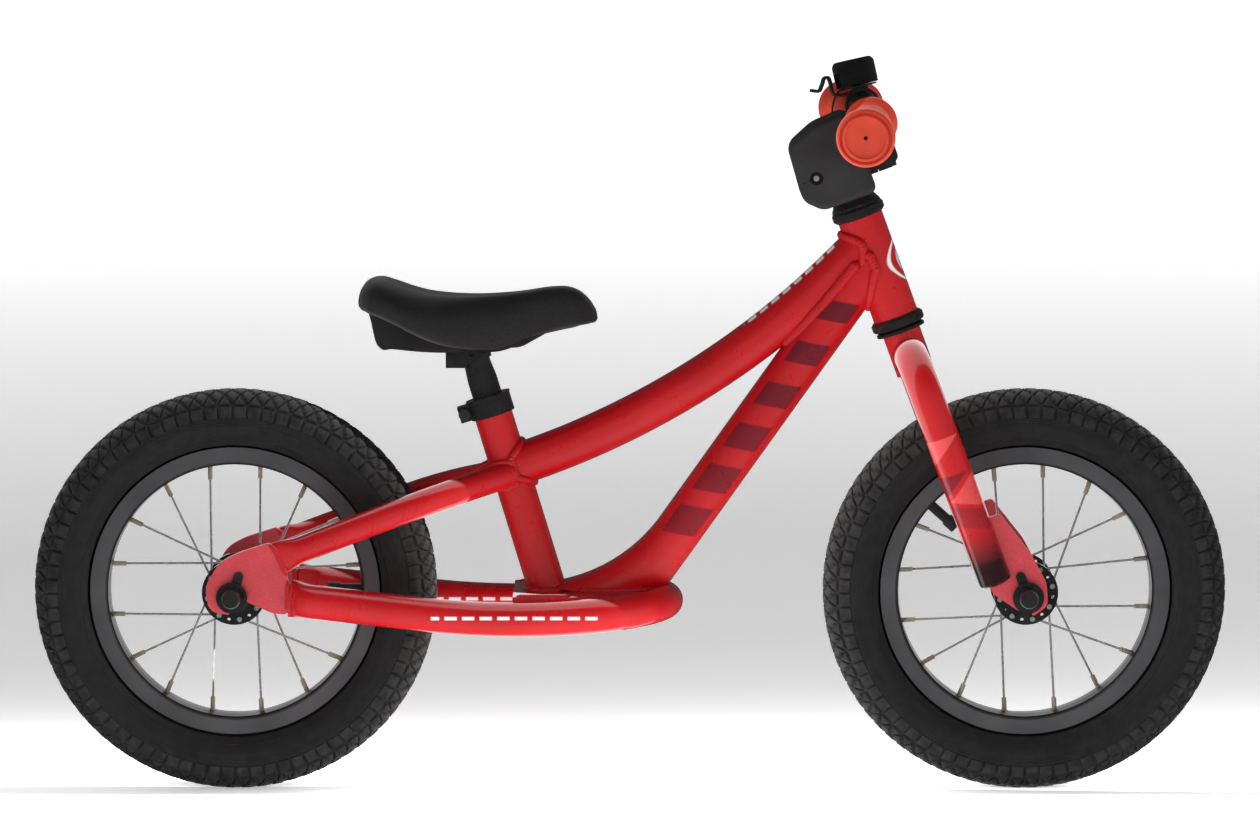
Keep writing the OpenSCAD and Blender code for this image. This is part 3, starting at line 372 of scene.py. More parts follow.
finish = {
    "black_alloy": coated("black_alloy", (0.010, 0.010, 0.011), (0.018, 0.018, 0.019), (0.22, 0.32), 1600,
                          0.00003, coat=0.6),
    "black_steel": coated("black_steel", (0.009, 0.009, 0.009), (0.020, 0.020, 0.021), (0.25, 0.42), 900,
                          0.00005, coat=0.5),
    "hub_black": coated("hub_black", (0.008, 0.008, 0.009), (0.015, 0.015, 0.016), (0.18, 0.28), 1200,
                        0.00003, coat=0.8),
    "steel": coated("steel", (0.42, 0.42, 0.43), (0.58, 0.58, 0.58), (0.2, 0.36), 1400, 0.00003,
                    metallic=1.0),
    "nipple_brass": coated("nipple_brass", (0.50, 0.44, 0.33), (0.68, 0.62, 0.50), (0.2, 0.34), 1300,
                           0.00003, metallic=0.7),
    "tube_rubber": coated("tube_rubber", (0.014, 0.014, 0.014), (0.024, 0.024, 0.024), (0.5, 0.7), 800,
                          0.00006),
    "saddle_shell": coated("saddle_shell", (0.010, 0.010, 0.010), (0.016, 0.016, 0.016), (0.28, 0.38), 1500,
                           0.00006, coat=0.3),
    "bell_black": coated("bell_black", (0.004, 0.004, 0.004), (0.007, 0.007, 0.007), (0.06, 0.12), 500,
                         0.00001, coat=1.0, cloud=20),
    "pad_foam": coated("pad_foam", (0.023, 0.023, 0.024), (0.036, 0.036, 0.037), (0.5, 0.66), 1100, 0.0001),
    "dropout_paint": satin_red("dropout_paint"),
    "frame_paint": red_paint("frame_paint"),
}
print("finishes:", sorted(finish))


# %% Spokes, rims and rubber
def drawn_wire(name):
    """Stainless wire: fine scratches round each spoke and a slow change of tone along it."""
    material, tree, shader = new_material(name, Metallic=0.7)
    scratches = noise(tree, 700, 3, rough=0.8)
    colour_by(tree, shader, mixed(tree, spread(tree, scratches, 0.3, 0.7), (0.36, 0.36, 0.36, 1),
                                  (0.60, 0.60, 0.59, 1)))
    rough_by(tree, shader, spread(tree, noise(tree, 90, 2), 0.3, 0.7, 0.16, 0.34))
    raise_by(tree, shader, scratches, 0.00002, 0.5)
    return material


def turned_rim(name, axle):
    """Dark anodised alloy with the fine rings of the lathe and slow patches of handling marks."""
    material, tree, shader = new_material(name, Metallic=0.55, Coat_Weight=0.15, Coat_Roughness=0.3)
    radius = from_axle(tree, axle)
    rings = add(tree, "ShaderNodeTexNoise", {"W": radius, "Scale": 2600.0, "Detail": 2.0},
                noise_dimensions="1D")
    patches = spread(tree, noise(tree, 24, 4), 0.3, 0.72)
    side = mixed(tree, patches, (0.090, 0.090, 0.095, 1), (0.135, 0.132, 0.138, 1))
    bed = spread(tree, radius, 0.0955, 0.0975)
    colour_by(tree, shader, mixed(tree, bed, (0.009, 0.009, 0.009, 1), side))
    rough_by(tree, shader, spread(tree, patches, 0, 1, 0.34, 0.46))
    raise_by(tree, shader, rings.outputs["Fac"], 0.00002, 0.6)
    return material


def tyre_rubber(name, axle, edge_radius):
    """Matt rubber: rings moulded on the side wall, darker grooves and a little dust on the tread."""
    material, tree, shader = new_material(name, Specular_IOR_Level=0.42)
    radius = from_axle(tree, axle)
    dust = spread(tree, noise(tree, 130, 5), 0.35, 0.75)
    tread = spread(tree, radius, edge_radius - 0.0006, edge_radius + 0.0006)
    wall_colour = mixed(tree, dust, (0.012, 0.012, 0.0125, 1), (0.018, 0.018, 0.019, 1))
    tread_colour = mixed(tree, dust, (0.013, 0.013, 0.0135, 1), (0.030, 0.029, 0.028, 1))
    colour_by(tree, shader, mixed(tree, tread, wall_colour, tread_colour))
    rough_by(tree, shader, spread(tree, tread, 0, 1, 0.44, 0.62))
    lines = [between(tree, radius, edge_radius - gap - 0.0004, edge_radius - gap, 0.0002)
             for gap in (0.0025, 0.0042, 0.0058, 0.0168)]
    height = lines[0]
    for line in lines[1:]:
        height = math_node(tree, "ADD", height, line)
    height = math_node(tree, "MULTIPLY_ADD", noise(tree, 1000, 3), 0.25, height)
    raise_by(tree, shader, height, 0.00035, 0.8)
    return material


def moulded_rubber(name, dark, light):
    """Soft coloured rubber with a faint grain and a little light inside it."""
    material, tree, shader = new_material(name, Subsurface_Weight=0.06, Subsurface_Scale=0.002,
                                          Coat_Weight=0.12,
                                          Coat_Roughness=0.35)
    patches = spread(tree, noise(tree, 60, 4), 0.3, 0.7)
    colour_by(tree, shader, mixed(tree, patches, (*dark, 1), (*light, 1)))
    rough_by(tree, shader, spread(tree, noise(tree, 220, 3), 0.3, 0.7, 0.36, 0.5))
    raise_by(tree, shader, noise(tree, 1500, 2), 0.00005, 0.6)
    return material


def saddle_skin(name):
    """Vinyl over foam: a pebbled grain of cells under a millimetre, with fine folds between them that carry
    painted shade.
    """
    material, tree, shader = new_material(name, Sheen_Weight=0.12, Sheen_Roughness=0.4)
    cells = add(tree, "ShaderNodeTexVoronoi", {"Vector": place_in(tree), "Scale": 950.0}, feature="SMOOTH_F1")
    grain = cells.outputs["Distance"]
    patches = spread(tree, noise(tree, 40, 4), 0.3, 0.7)
    colour = mixed(tree, patches, (0.0155, 0.016, 0.017, 1), (0.0235, 0.024, 0.0255, 1))
    # Painted shade: the colour darkens towards the folds between the grain cells, where the bump is lowest.
    colour_by(tree, shader, mixed(tree, spread(tree, grain, 0.25, 0.7), colour, (0.011, 0.011, 0.012, 1)))
    rough_by(tree, shader, spread(tree, patches, 0, 1, 0.40, 0.52))
    raise_by(tree, shader, math_node(tree, "SUBTRACT", 1.0, grain), 0.00016, 0.7)
    return material


finish["spoke_steel"] = drawn_wire("spoke_steel")
finish["grip_rubber"] = moulded_rubber("grip_rubber", (0.60, 0.036, 0.012), (0.70, 0.055, 0.018))
finish["saddle_skin"] = saddle_skin("saddle_skin")
print("finishes:", len(finish))

# %% [markdown]
# ## Finishes for the parts that keep their design shape
# Most of the metal parts are already right: hubs, rims, spokes, nuts, headset, posts. Each one only
# gets the finish that the record names for it. The rims need their own, because their lathe rings
# are measured from their own axle.


# %% Give every design node its finish
def dress(node, material):
    """Puts one material on every face of a design node without touching its mesh."""
    slots = nodes[node].material_slots
    if not slots:
        nodes[node].data.materials.append(material)
    for held in nodes[node].material_slots:
        held.material = material


for part in frame["record"]["subparts"]:
    if part["material_slot"] in finish:
        dress(part["node"], finish[part["material_slot"]])
for end, axle in (("front", front_axle), ("rear", rear_axle)):
    dress(end + "_rim", turned_rim(end + "_rim_alloy", axle))
dress("saddle_bolt", finish["black_steel"])

# %% [markdown]
# ## Paths and rings
# A bent tube is a circle carried along a line. The line is made of straight runs joined by arcs, as
# a tube bender makes it, and is then cut into equal steps. Each ring lies square to the line. Letting
# the two half axes of the ring change along the way flattens or tapers the tube where it is crimped.


# %% Path and ring functions
def even_steps(points, step, closed=False):
    """The same line with points at equal distances of about the step given."""
    line = np.vstack([points, points[:1]]) if closed else np.asarray(points)
    lengths = np.concatenate([[0], np.cumsum(np.linalg.norm(np.diff(line, axis=0), axis=1))])
    count = max(4, int(round(lengths[-1] / step)))
    wanted = np.linspace(0, lengths[-1], count + 1)[: count if closed else count + 1]
    return np.stack([np.interp(wanted, lengths, line[:, k]) for k in range(3)], 1)


def bent_path(corners, radii, step=0.003):
    """Straight runs between corners, with an arc of the radius given at each inner corner."""
    runs = [corners[:1]]
    for before, here, after, radius in zip(corners[:-2], corners[1:-1], corners[2:], radii):
        arriving, leaving = unit(here - before), unit(after - here)
        turn = math.acos(arriving @ leaving)
        inward = unit(leaving - arriving * (arriving @ leaving))
        centre = here - arriving * radius * math.tan(turn / 2) + inward * radius
        angle = np.linspace(0, turn, 24)[:, None]
        runs.append(centre + radius * (arriving * np.sin(angle) - inward * np.cos(angle)))
    runs.append(corners[-1:])
    return even_steps(np.vstack(runs), step)


def rings_on(path, first_axis, first_half, second_half, sides=40):
    """Point j of ring i is path_i + first_half cos(a_j) * first + second_half sin(a_j) * second.
    First is the given axis made square to the path, and second is square to both."""
    tangent = unit(np.gradient(path, axis=0))
    first = unit(first_axis - tangent * (tangent @ first_axis)[:, None])
    second = np.cross(tangent, first)
    angle = np.linspace(0, 2 * np.pi, sides, endpoint=False)[None, :, None]
    halves = [np.broadcast_to(half, len(path))[:, None, None] for half in (first_half, second_half)]
    return (path[:, None] + halves[0] * np.cos(angle) * first[:, None]
            + halves[1] * np.sin(angle) * second[:, None])


def travel(path):
    """Distance from the start of a path to each of its points."""
    return np.concatenate([[0], np.cumsum(np.linalg.norm(np.diff(path, axis=0), axis=1))])


def ease(value, low, high):
    """0 below low, 1 above high, and 3t^2 - 2t^3 between."""
    share = np.clip((np.asarray(value, float) - low) / (high - low), 0, 1)
    return share * share * (3 - 2 * share)


print("ring of a test path:", rings_on(bent_path(np.eye(3), [0.1]), UP, 0.01, 0.01).shape)

# %% [markdown]
# ## Down tube and its drawn-out foot
# The down tube is round at the head and ends in a long foot on the footrest plate: its upper edge
# bends to run along the plate while its lower edge stays straight. One ring joins the two edges at
# each step, so the tube grows taller towards the foot and flows into the plate. Dark slanted bars
# run along its flanks in place of lettering, with plain edges that mean nothing.

# %% Down tube
DOWN_RADIUS = 0.01745
DOWN_BEND = 0.138
head_low_up, head_high_up = 0.2262, 0.3042
down_start = at_head(0, 0, head_low_up + 0.0465)
down_foot = np.array([rear_axle[0] + 0.300, 0, plate_top])
down_dir = unit(down_foot - down_start)
down_corner = down_start + down_dir * ((down_start[2] - plate_top + 0.013) / -down_dir[2])
down_turn = math.acos(-down_dir[0])


def down_rings(count=70, sides=44):
    """Ring k joins the bent upper edge to the straight lower edge at the same share of the foot."""
    def normal(t):
        return np.stack([-np.sin(down_turn - t), 0 * t, np.cos(down_turn - t)], -1)

    upright = normal(np.zeros(1))
    bend_start = down_corner - down_dir * DOWN_BEND * math.tan(down_turn / 2)
    hub = bend_start + upright * DOWN_BEND
    foot_length = (bend_start[2] - DOWN_RADIUS * upright[0, 2] - plate_top + 0.008) / -down_dir[2]
    share = np.linspace(0, 1, count)[:, None]
    upper = hub - (DOWN_BEND - DOWN_RADIUS) * normal(down_turn * share[:, 0])
    lower = bend_start - DOWN_RADIUS * upright + down_dir * foot_length * share
    straight = down_start + (bend_start - down_start) * np.linspace(0, 1, 60)[:-1, None]
    centre = np.vstack([straight, (upper + lower) / 2])
    half = np.vstack([np.repeat(DOWN_RADIUS * upright, 59, 0), (upper - lower) / 2])
    angle = np.linspace(0, 2 * np.pi, sides, endpoint=False)[None, :, None]
    rings = centre[:, None] + half[:, None] * np.cos(angle) + DOWN_RADIUS * np.sin(angle) * LEFT
    rings[..., 2] = np.maximum(rings[..., 2], plate_top - 0.003)
    return rings


def slanted_bars(tree, colour):
    """Six leaning bars, each a little narrower than the one below it, on both flanks."""
    way = along(tree, down_start, down_dir)
    across = along(tree, down_start, np.array([-down_dir[2], 0, down_dir[0]]))
    lean = math_node(tree, "MULTIPLY_ADD", across, 0.45, way)
    flank = between(tree, across, -0.0115, 0.0115)
    mask = None
    for number in range(6):
        start = 0.040 + 0.0375 * number
        bar = between(tree, lean, start, start + 0.017 + 0.0016 * number)
        mask = bar if mask is None else math_node(tree, "MAXIMUM", mask, bar)
    fade = spread(tree, way, 0.02, 0.27, 0.92, 0.62)
    share = math_node(tree, "MULTIPLY", math_node(tree, "MULTIPLY", mask, flank), fade)
    return mixed(tree, share, colour, MAROON)


down_skin = down_rings()
down_tube = tube_piece("down_tube_skin", down_skin, "frame",
                       red_paint("down_tube_paint", slanted_bars), 60)
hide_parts("down_tube")
print("down tube rings:", down_skin.shape)

# %% [markdown]
# ## Footrest tube and seat stays
# The footrest is one long tube bent into a U, and its two ends are crimped flat and welded to the
# rear dropouts. The seat stays start at the same plates and lean in to the seat tube. Crimping is a
# change of the ring: it gets narrower across the plate and a little taller, because the wall keeps
# its length round the tube.

# %% Footrest tube
RAIL_SIDE, RAIL_RADIUS = 0.052, 0.0127
DROPOUT_SIDE = 0.046
rail_side_points = [(0.043, -0.001), (0.204, -0.0193), (0.322, -0.0084)]
near = [rear_axle + [x, -RAIL_SIDE, z] for x, z in rail_side_points]
far = [rear_axle + [x, RAIL_SIDE, z] for x, z in rail_side_points[::-1]]
rail_path = bent_path(np.array(near + far), [0.600, RAIL_SIDE - 0.0005, RAIL_SIDE - 0.0005, 0.600])


def crimp(path, length, flat, tall, both_ends):
    """Factors across and along the plate: both are 1 away from the ends and ease to flat and tall."""
    gone = travel(path)
    left_over = gone[-1] - gone if both_ends else np.full(len(gone), 1.0)
    share = 1 - ease(np.minimum(gone, left_over), 0.001, length)
    return 1 + (flat - 1) * share, 1 + (tall - 1) * share, share


def white_dashes(tree, colour):
    """A short row of plain dashes along the flanks of the footrest."""
    way = along(tree, rear_axle, FORWARD)
    height = along(tree, rear_axle + np.array([0, 0, -0.0135]), UP)
    repeat = math_node(tree, "PINGPONG", way, 0.0065)
    dashes = math_node(tree, "MULTIPLY", between(tree, repeat, 0.0020, 0.0100),
                       between(tree, way, 0.148, 0.272))
    mask = math_node(tree, "MULTIPLY", dashes, between(tree, height, -0.0012, 0.0012))
    return mixed(tree, mask, colour, WHITE)


across, tall, share = crimp(rail_path, 0.014, 0.42, 1.12, True)
rail_path = rail_path - LEFT * (np.sign(rail_path[:, 1]) * share * (RAIL_SIDE - DROPOUT_SIDE))[:, None]
rail_rings = rings_on(rail_path, UP, RAIL_RADIUS * tall, RAIL_RADIUS * across)
rail = tube_piece("footrest_tube_skin", rail_rings, "frame",
                  red_paint("footrest_paint", white_dashes))
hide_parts("footrest_tube")
print("footrest tube length:", round(travel(rail_path)[-1], 3))

# %% Seat stays
STAY_RADIUS = 0.010
stay_rings = []
for side in (-1, 1):
    corners = np.array([rear_axle + [0.034, side * DROPOUT_SIDE, 0.029],
                        rear_axle + [0.150, side * (DROPOUT_SIDE - 0.003), 0.0726],
                        at_seat(0.092) + [0, side * 0.010, 0]])
    path = bent_path(corners, [0.120], 0.002)
    across, tall, share = crimp(path, 0.018, 0.42, 1.22, False)
    stay_rings.append(rings_on(path, UP, STAY_RADIUS * tall, STAY_RADIUS * across))
rows, columns = stay_rings[0].shape[:2]
one = np.array(grid_faces(rows, columns))
stay_faces = np.vstack([one, one + rows * columns]).tolist()
for cap in end_caps(rows, columns):
    stay_faces += [cap, [index + rows * columns for index in cap]]
stays = add_piece("seat_stay_skins", np.stack(stay_rings), stay_faces, "frame",
                  finish["frame_paint"])
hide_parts("seat_stays")
print("stay points:", rows * columns)

# %% [markdown]
# ## Fork legs and handlebar
# Both are plain bent tubes. The legs turn in to the crown at the top and end in a rounded edge at the dropouts.
# They go from red to nearly black towards the bottom, and a few leaning streaks of painted highlight and painted
# shade cross them: each streak is the space between two slanting lines, so it is again only a distance with a soft
# edge.

# %% Fork legs
LEG_SIDE, LEG_RADIUS, LEG_LOW, CROWN_UP = 0.047, 0.0125, 0.0175, 0.182


def dark_foot_and_painted_streaks(tree, colour):
    """Red above and darker towards the bottom, to near black, crossed by leaning streaks of painted highlight and
    painted shade.
    """
    height = along(tree, steer_foot, steer_dir)
    fore = along(tree, steer_foot, steer_fore)
    rising = math_node(tree, "MULTIPLY_ADD", fore, -0.76, height)
    falling = math_node(tree, "MULTIPLY_ADD", fore, 0.4, height)
    # The lighter red is a painted highlight and the dark red a painted shade; each lies in a leaning streak across
    # the legs.
    painted_highlight_red, painted_shade_red = (0.78, 0.09, 0.09, 1), (0.16, 0.006, 0.014, 1)
    painted_streaks = [(spread(tree, rising, 0.1245, 0.1249), spread(tree, height, 0.134, 0.1344, 1, 0), painted_highlight_red, 0.75),
              (spread(tree, rising, 0.0985, 0.0989), spread(tree, height, 0.106, 0.1064, 1, 0), painted_shade_red, 0.80),
              (spread(tree, rising, 0.0935, 0.0939, 1, 0), spread(tree, falling, 0.083, 0.0834), painted_highlight_red, 0.60),
              (between(tree, falling, 0.064, 0.080), spread(tree, rising, 0.0900, 0.0904, 1, 0), painted_shade_red, 0.55)]
    for first, second, tone, strength in painted_streaks:
        mask = math_node(tree, "MULTIPLY", math_node(tree, "MULTIPLY", first, second), strength)
        colour = mixed(tree, mask, colour, tone)
    # The legs turn darker towards the bottom, to near black.
    return mixed(tree, spread(tree, height, 0.034, 0.064, 0.97, 0.0), colour, (0.006, 0.0045, 0.0045, 1))


leg_rings = []
for side in (-1, 1):
    corners = np.array([at_head(0, side * 0.004, CROWN_UP + 0.0155),
                        at_head(0.001, side * LEG_SIDE, CROWN_UP + 0.008),
                        at_head(0.002, side * LEG_SIDE, LEG_LOW)])
    path = bent_path(corners, [0.032], 0.0015)
    to_end = travel(path)[-1] - travel(path)
    edge = 1 - 0.2 * (1 - np.sqrt(1 - np.clip(1 - to_end / 0.0035, 0, 1) ** 2))
    leg_rings.append(rings_on(path, FORWARD, LEG_RADIUS * edge, LEG_RADIUS * edge))
fork_paint_with_painted_streaks = red_paint("fork_paint_with_painted_streaks", dark_foot_and_painted_streaks)
for side, rings in zip(("right", "left"), leg_rings):
    leg = tube_piece("fork_leg_" + side, rings, "fork", fork_paint_with_painted_streaks)
    if side == "right":
        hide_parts("fork_legs")
print("leg rings:", leg_rings[0].shape)

# %% Handlebar
BAR_RADIUS = 0.0111
stem_low_up = 0.3205
bar_up = stem_low_up + 0.031
bar_centre = at_head(0.024, 0, bar_up)
bar_low, bar_high, bar_end = (bar_centre + offset for offset in
                              ([0, 0.036, 0], [0.0001, 0.072, 0.0266], [-0.0104, 0.196, 0.0184]))
mirror = np.array([1, -1, 1])
bar_corners = np.array([bar_end * mirror, bar_high * mirror, bar_low * mirror, bar_low, bar_high, bar_end])
bar_rings = rings_on(bent_path(bar_corners, [0.034] * 4, 0.002), UP, BAR_RADIUS, BAR_RADIUS)
bar = tube_piece("handlebar_skin", bar_rings, "fork", finish["black_alloy"])
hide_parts("handlebar")
grip_dir = unit(bar_end - bar_high)
print("bar end:", bar_end.round(4))

# %% [markdown]
# ## Weld beads
# Where two tubes meet, the welder leaves a row of overlapping puddles. The line of the weld is where
# one tube's skin enters the other tube, and it is found on the grid itself: each lengthwise line of
# the skin is followed until its distance to the other tube changes sign. The bead is a thin tube
# along that line whose radius swells once per puddle, with the crests bent into crescents.


# %% Meeting lines and beads
def inside_round(point, direction, radius):
    """Function that gives each point's distance outside a round bar, negative inside it."""
    def depth(points):
        offset = points - point
        flat = offset - (offset @ direction)[..., None] * direction
        return np.linalg.norm(flat, axis=-1) - radius
    return depth


def meeting_line(rings, depth):
    """Each lengthwise line of the skin is followed to its first point inside the other solid; the
    meeting point divides that step in proportion to the two distances."""
    distance = depth(rings)
    inside = distance < 0
    first = np.argmax(inside, axis=0)
    lines = np.flatnonzero(inside.any(axis=0) & (first > 0))
    first = first[lines]
    before, after = distance[first - 1, lines], distance[first, lines]
    share = (before / (before - after))[:, None]
    return rings[first - 1, lines] * (1 - share) + rings[first, lines] * share


def bead(name, line, radius=0.0029, closed=True, body="frame", pitch=0.0025, sides=12):
    """Tube round the line with radius r (0.90 + 0.13 |sin(pi (s / pitch + 0.8 cos a))|)."""
    path = even_steps(line, pitch / 5, closed)
    ends = np.vstack([path[-1:], path, path[:1]]) if closed else path
    tangent = np.gradient(ends, axis=0)
    tangent = unit(tangent[1:-1] if closed else tangent)
    rough_side = LEFT if abs(tangent @ LEFT).max() < 0.98 else unit(np.array([0.3, 0.2, 1]))
    first = unit(np.cross(tangent, rough_side))
    second = np.cross(tangent, first)
    angle = np.linspace(0, 2 * np.pi, sides, endpoint=False)[None, :]
    gone = np.arange(len(path))[:, None] / 5.0
    swell = radius * (0.90 + 0.13 * np.abs(np.sin(np.pi * (gone + 0.8 * np.cos(angle)))))
    if not closed:
        taper = np.minimum(np.arange(len(path)), np.arange(len(path))[::-1]) / 8.0
        swell = swell * np.sqrt(np.clip(taper, 0.02, 1))[:, None]
    points = path[:, None] + swell[..., None] * (np.cos(angle)[..., None] * first[:, None]
                                                 + np.sin(angle)[..., None] * second[:, None])
    rows = len(path)
    faces = grid_faces(rows, sides, closed_rows=closed) + ([] if closed else end_caps(rows, sides))
    return add_piece(name, points, faces, body, finish["frame_paint"], 75)


head_radius = (box_of("head_tube")[1][1] - box_of("head_tube")[0][1]) / 2
seat_radius = (box_of("seat_tube")[1][1] - box_of("seat_tube")[0][1]) / 2
in_head = inside_round(steer_foot, steer_dir, head_radius)
in_seat_tube = inside_round(seat_foot, seat_dir, seat_radius)
print("head tube radius:", round(head_radius, 4), "seat tube radius:", round(seat_radius, 4))

# %% Beads of the main tubes
TOP_RADIUS = 0.0159
TOP_BEND = 0.621
top_start, top_end = at_seat(0.0957), at_head(0, 0, head_high_up - 0.017)
chord = top_end - top_start
top_up = unit(np.array([-chord[2], 0, chord[0]]))
top_centre = top_start + chord / 2 + top_up * math.sqrt(TOP_BEND ** 2 - (chord @ chord) / 4)
swing = math.asin(np.linalg.norm(chord) / 2 / TOP_BEND)
sweep = np.linspace(-swing, swing, 160)[:, None]
top_path = top_centre + TOP_BEND * (np.sin(sweep) * unit(chord) - np.cos(sweep) * top_up)
top_rings = rings_on(top_path, LEFT, TOP_RADIUS, TOP_RADIUS, 60)


def in_top_tube(points):
    """Distance outside the bent top tube: from its arc in the middle plane, less its radius."""
    offset = points - top_centre
    to_arc = np.hypot(offset[..., 0], offset[..., 2]) - TOP_BEND
    return np.hypot(to_arc, offset[..., 1]) - TOP_RADIUS


bead("weld_top_head", meeting_line(top_rings, in_head), 0.0038)
bead("weld_top_seat", meeting_line(top_rings[::-1], in_seat_tube), 0.0034)
down_head = meeting_line(down_skin[::-1], in_head)
keep = in_top_tube(down_head) > -0.001
covered = int(np.argmin(keep))
free_part = np.roll(down_head, -covered, 0)[np.roll(keep, -covered)]
bead("weld_down_head", free_part, 0.0038, closed=False)
around = down_skin.transpose(1, 0, 2)
half_turn = around.shape[0] // 2
for side, flank in (("left", around[half_turn::-1]), ("right", around[half_turn:])):
    seam = meeting_line(flank, in_top_tube)
    seam = seam[(in_head(seam) > 0.001) & (seam[:, 2] > plate_top + 0.05)]
    bead("weld_crotch_" + side, seam, 0.0046, closed=False)
    print("crotch seam", side, seam[0].round(3), seam[-1].round(3))

# %% Beads of the stays, the seat tube foot and the footrest
for number, (side, rings) in enumerate(zip(("right", "left"), stay_rings)):
    joined = lambda points: np.minimum(in_seat_tube(points), in_top_tube(points))
    bead("weld_stay_" + side, meeting_line(rings, joined), 0.0026)
    outer = -1 if number == 0 else 1
    for label, face in (("outer", 0.0486), ("inner", 0.0434)):
        line = np.array([rear_axle + [x, outer * face, z] for x, z in
                         ((0.0275, 0.0395), (0.0325, 0.0350), (0.0375, 0.0240), (0.0408, 0.0160))])
        bead(f"weld_stay_drop_{label}_{side}", line, 0.0022, closed=False)
        line = np.array([rear_axle + [x, outer * face, z] for x, z in
                         ((0.0415, 0.0125), (0.0418, 0.004), (0.0415, -0.012))])
        bead(f"weld_rail_drop_{label}_{side}", line, 0.0022, closed=False)

turn = np.linspace(0, 2 * np.pi, 90, endpoint=False)[:, None]
foot_oval = seat_foot + seat_radius * (np.cos(turn) * FORWARD / seat_dir[2] + np.sin(turn) * LEFT)
bead("weld_seat_foot", foot_oval, 0.0030)
on_plate = lambda points: points[..., 2] - plate_top - 0.0004
foot_line = meeting_line(down_skin[:-1], on_plate)
foot_line = foot_line[foot_line[:, 0] < foot_line[:, 0].max() + 1]
bead("weld_down_foot", foot_line, 0.0028, closed=False)
for side in (-1, 1):
    line = np.array([[plate_low[0] + 0.002, side * (RAIL_SIDE - 0.0098), plate_top - 0.0002],
                     [rear_axle[0] + 0.27, side * (RAIL_SIDE - 0.0098), plate_top - 0.0002]])
    bead("weld_plate_" + ("left" if side > 0 else "right"), line, 0.0017, closed=False, pitch=0.0024)

# %% [markdown]
# ## Tyres
# A bicycle tyre is a smooth skin with a pattern cut into its crown. The skin is a closed section
# carried round the axle. The pattern is a depth worked out for every point of the grid: straight
# grooves between the shoulder blocks, a zigzag groove inside them, and two slanting families of
# grooves that cross over the crown. The columns of the grid lean with the first family, so its edges
# stay crisp with far fewer points than an upright grid would need.

# %% Curves through a few points
tyre_low, tyre_high = box_of("rear_tyre")
TYRE_RADIUS = (tyre_high[2] - tyre_low[2]) / 2
TYRE_HALF = (tyre_high[1] - tyre_low[1]) / 2
RIM_RADIUS = (box_of("rear_rim")[1][2] - box_of("rear_rim")[0][2]) / 2


def smooth_value(x, known_x, known_y):
    """Cubic curve through known points: each slope is that of the line between its neighbours."""
    known_x, known_y = np.asarray(known_x, float), np.asarray(known_y, float)
    slope = np.gradient(known_y, known_x)
    i = np.clip(np.searchsorted(known_x, x) - 1, 0, len(known_x) - 2)
    step = known_x[i + 1] - known_x[i]
    t = np.clip((x - known_x[i]) / step, 0, 1)
    return ((2 * t ** 3 - 3 * t ** 2 + 1) * known_y[i] + (t ** 3 - 2 * t ** 2 + t) * step * slope[i]
            + (3 * t ** 2 - 2 * t ** 3) * known_y[i + 1] + (t ** 3 - t ** 2) * step * slope[i + 1])


def smooth_line(points, count):
    """Curve through the points, with count points at equal shares of the broken line's length."""
    points = np.asarray(points, float)
    known = np.concatenate([[0], np.cumsum(np.linalg.norm(np.diff(points, axis=0), axis=1))])
    wanted = np.linspace(0, known[-1], count)
    return np.stack([smooth_value(wanted, known, points[:, k]) for k in range(points.shape[1])], 1)


# Section as shares: height above the rim edge, and half width
OUTER_SHAPE = [(-0.12, 0.50), (0.04, 0.64), (0.19, 0.865), (0.40, 1), (0.59, 0.985), (0.75, 0.87),
               (0.89, 0.66), (0.972, 0.35), (1, 0)]
wall = TYRE_RADIUS - RIM_RADIUS
half_section = np.array([(RIM_RADIUS + h * wall, w * TYRE_HALF) for h, w in OUTER_SHAPE])
outer_line = smooth_line(np.vstack([half_section, (half_section * [1, -1])[-2::-1]]), 1201)
print("tyre radius:", round(TYRE_RADIUS, 4), "section points:", len(outer_line))

# %% Tyre section rows
TREAD_HALF = 0.035
outer_reach = np.concatenate([[0], np.cumsum(np.linalg.norm(np.diff(outer_line, axis=0), axis=1))])
outer_reach -= outer_reach[-1] / 2
tread_rows = np.linspace(-TREAD_HALF, TREAD_HALF, 51)
wall_rows = np.array([0.0004, 0.0011, 0.003, 0.006, 0.010, 0.014, 0.018, 0.0215, 0.0245])
row_reach = np.concatenate([-(TREAD_HALF + wall_rows)[::-1], tread_rows, TREAD_HALF + wall_rows])
row_reach = row_reach[np.abs(row_reach) < outer_reach[-1]]
section = np.stack([np.interp(row_reach, outer_reach, outer_line[:, k]) for k in range(2)], 1)
run = np.gradient(section, axis=0)
section_normal = unit(np.stack([run[:, 1], -run[:, 0]], 1))
section_normal *= np.sign(section_normal[len(section) // 2, 0])
inner_rows = section[::7][::-1] - 0.0032 * section_normal[::7][::-1]
print("rows:", len(section), "inner rows:", len(inner_rows))


# %% Tread depth
PITCHES = 80
COLUMN_SHARES = np.array([0.0, 0.055, 0.085, 0.16, 0.25, 0.34, 0.43, 0.52, 0.61, 0.70, 0.79, 0.86, 0.915,
                          0.945])
GROOVE = 0.0017


def cut(distance, half_width=0.0007, soft=0.0004):
    """1 in the middle of a groove and 0 outside it."""
    return 1 - ease(np.abs(distance), half_width, half_width + soft)


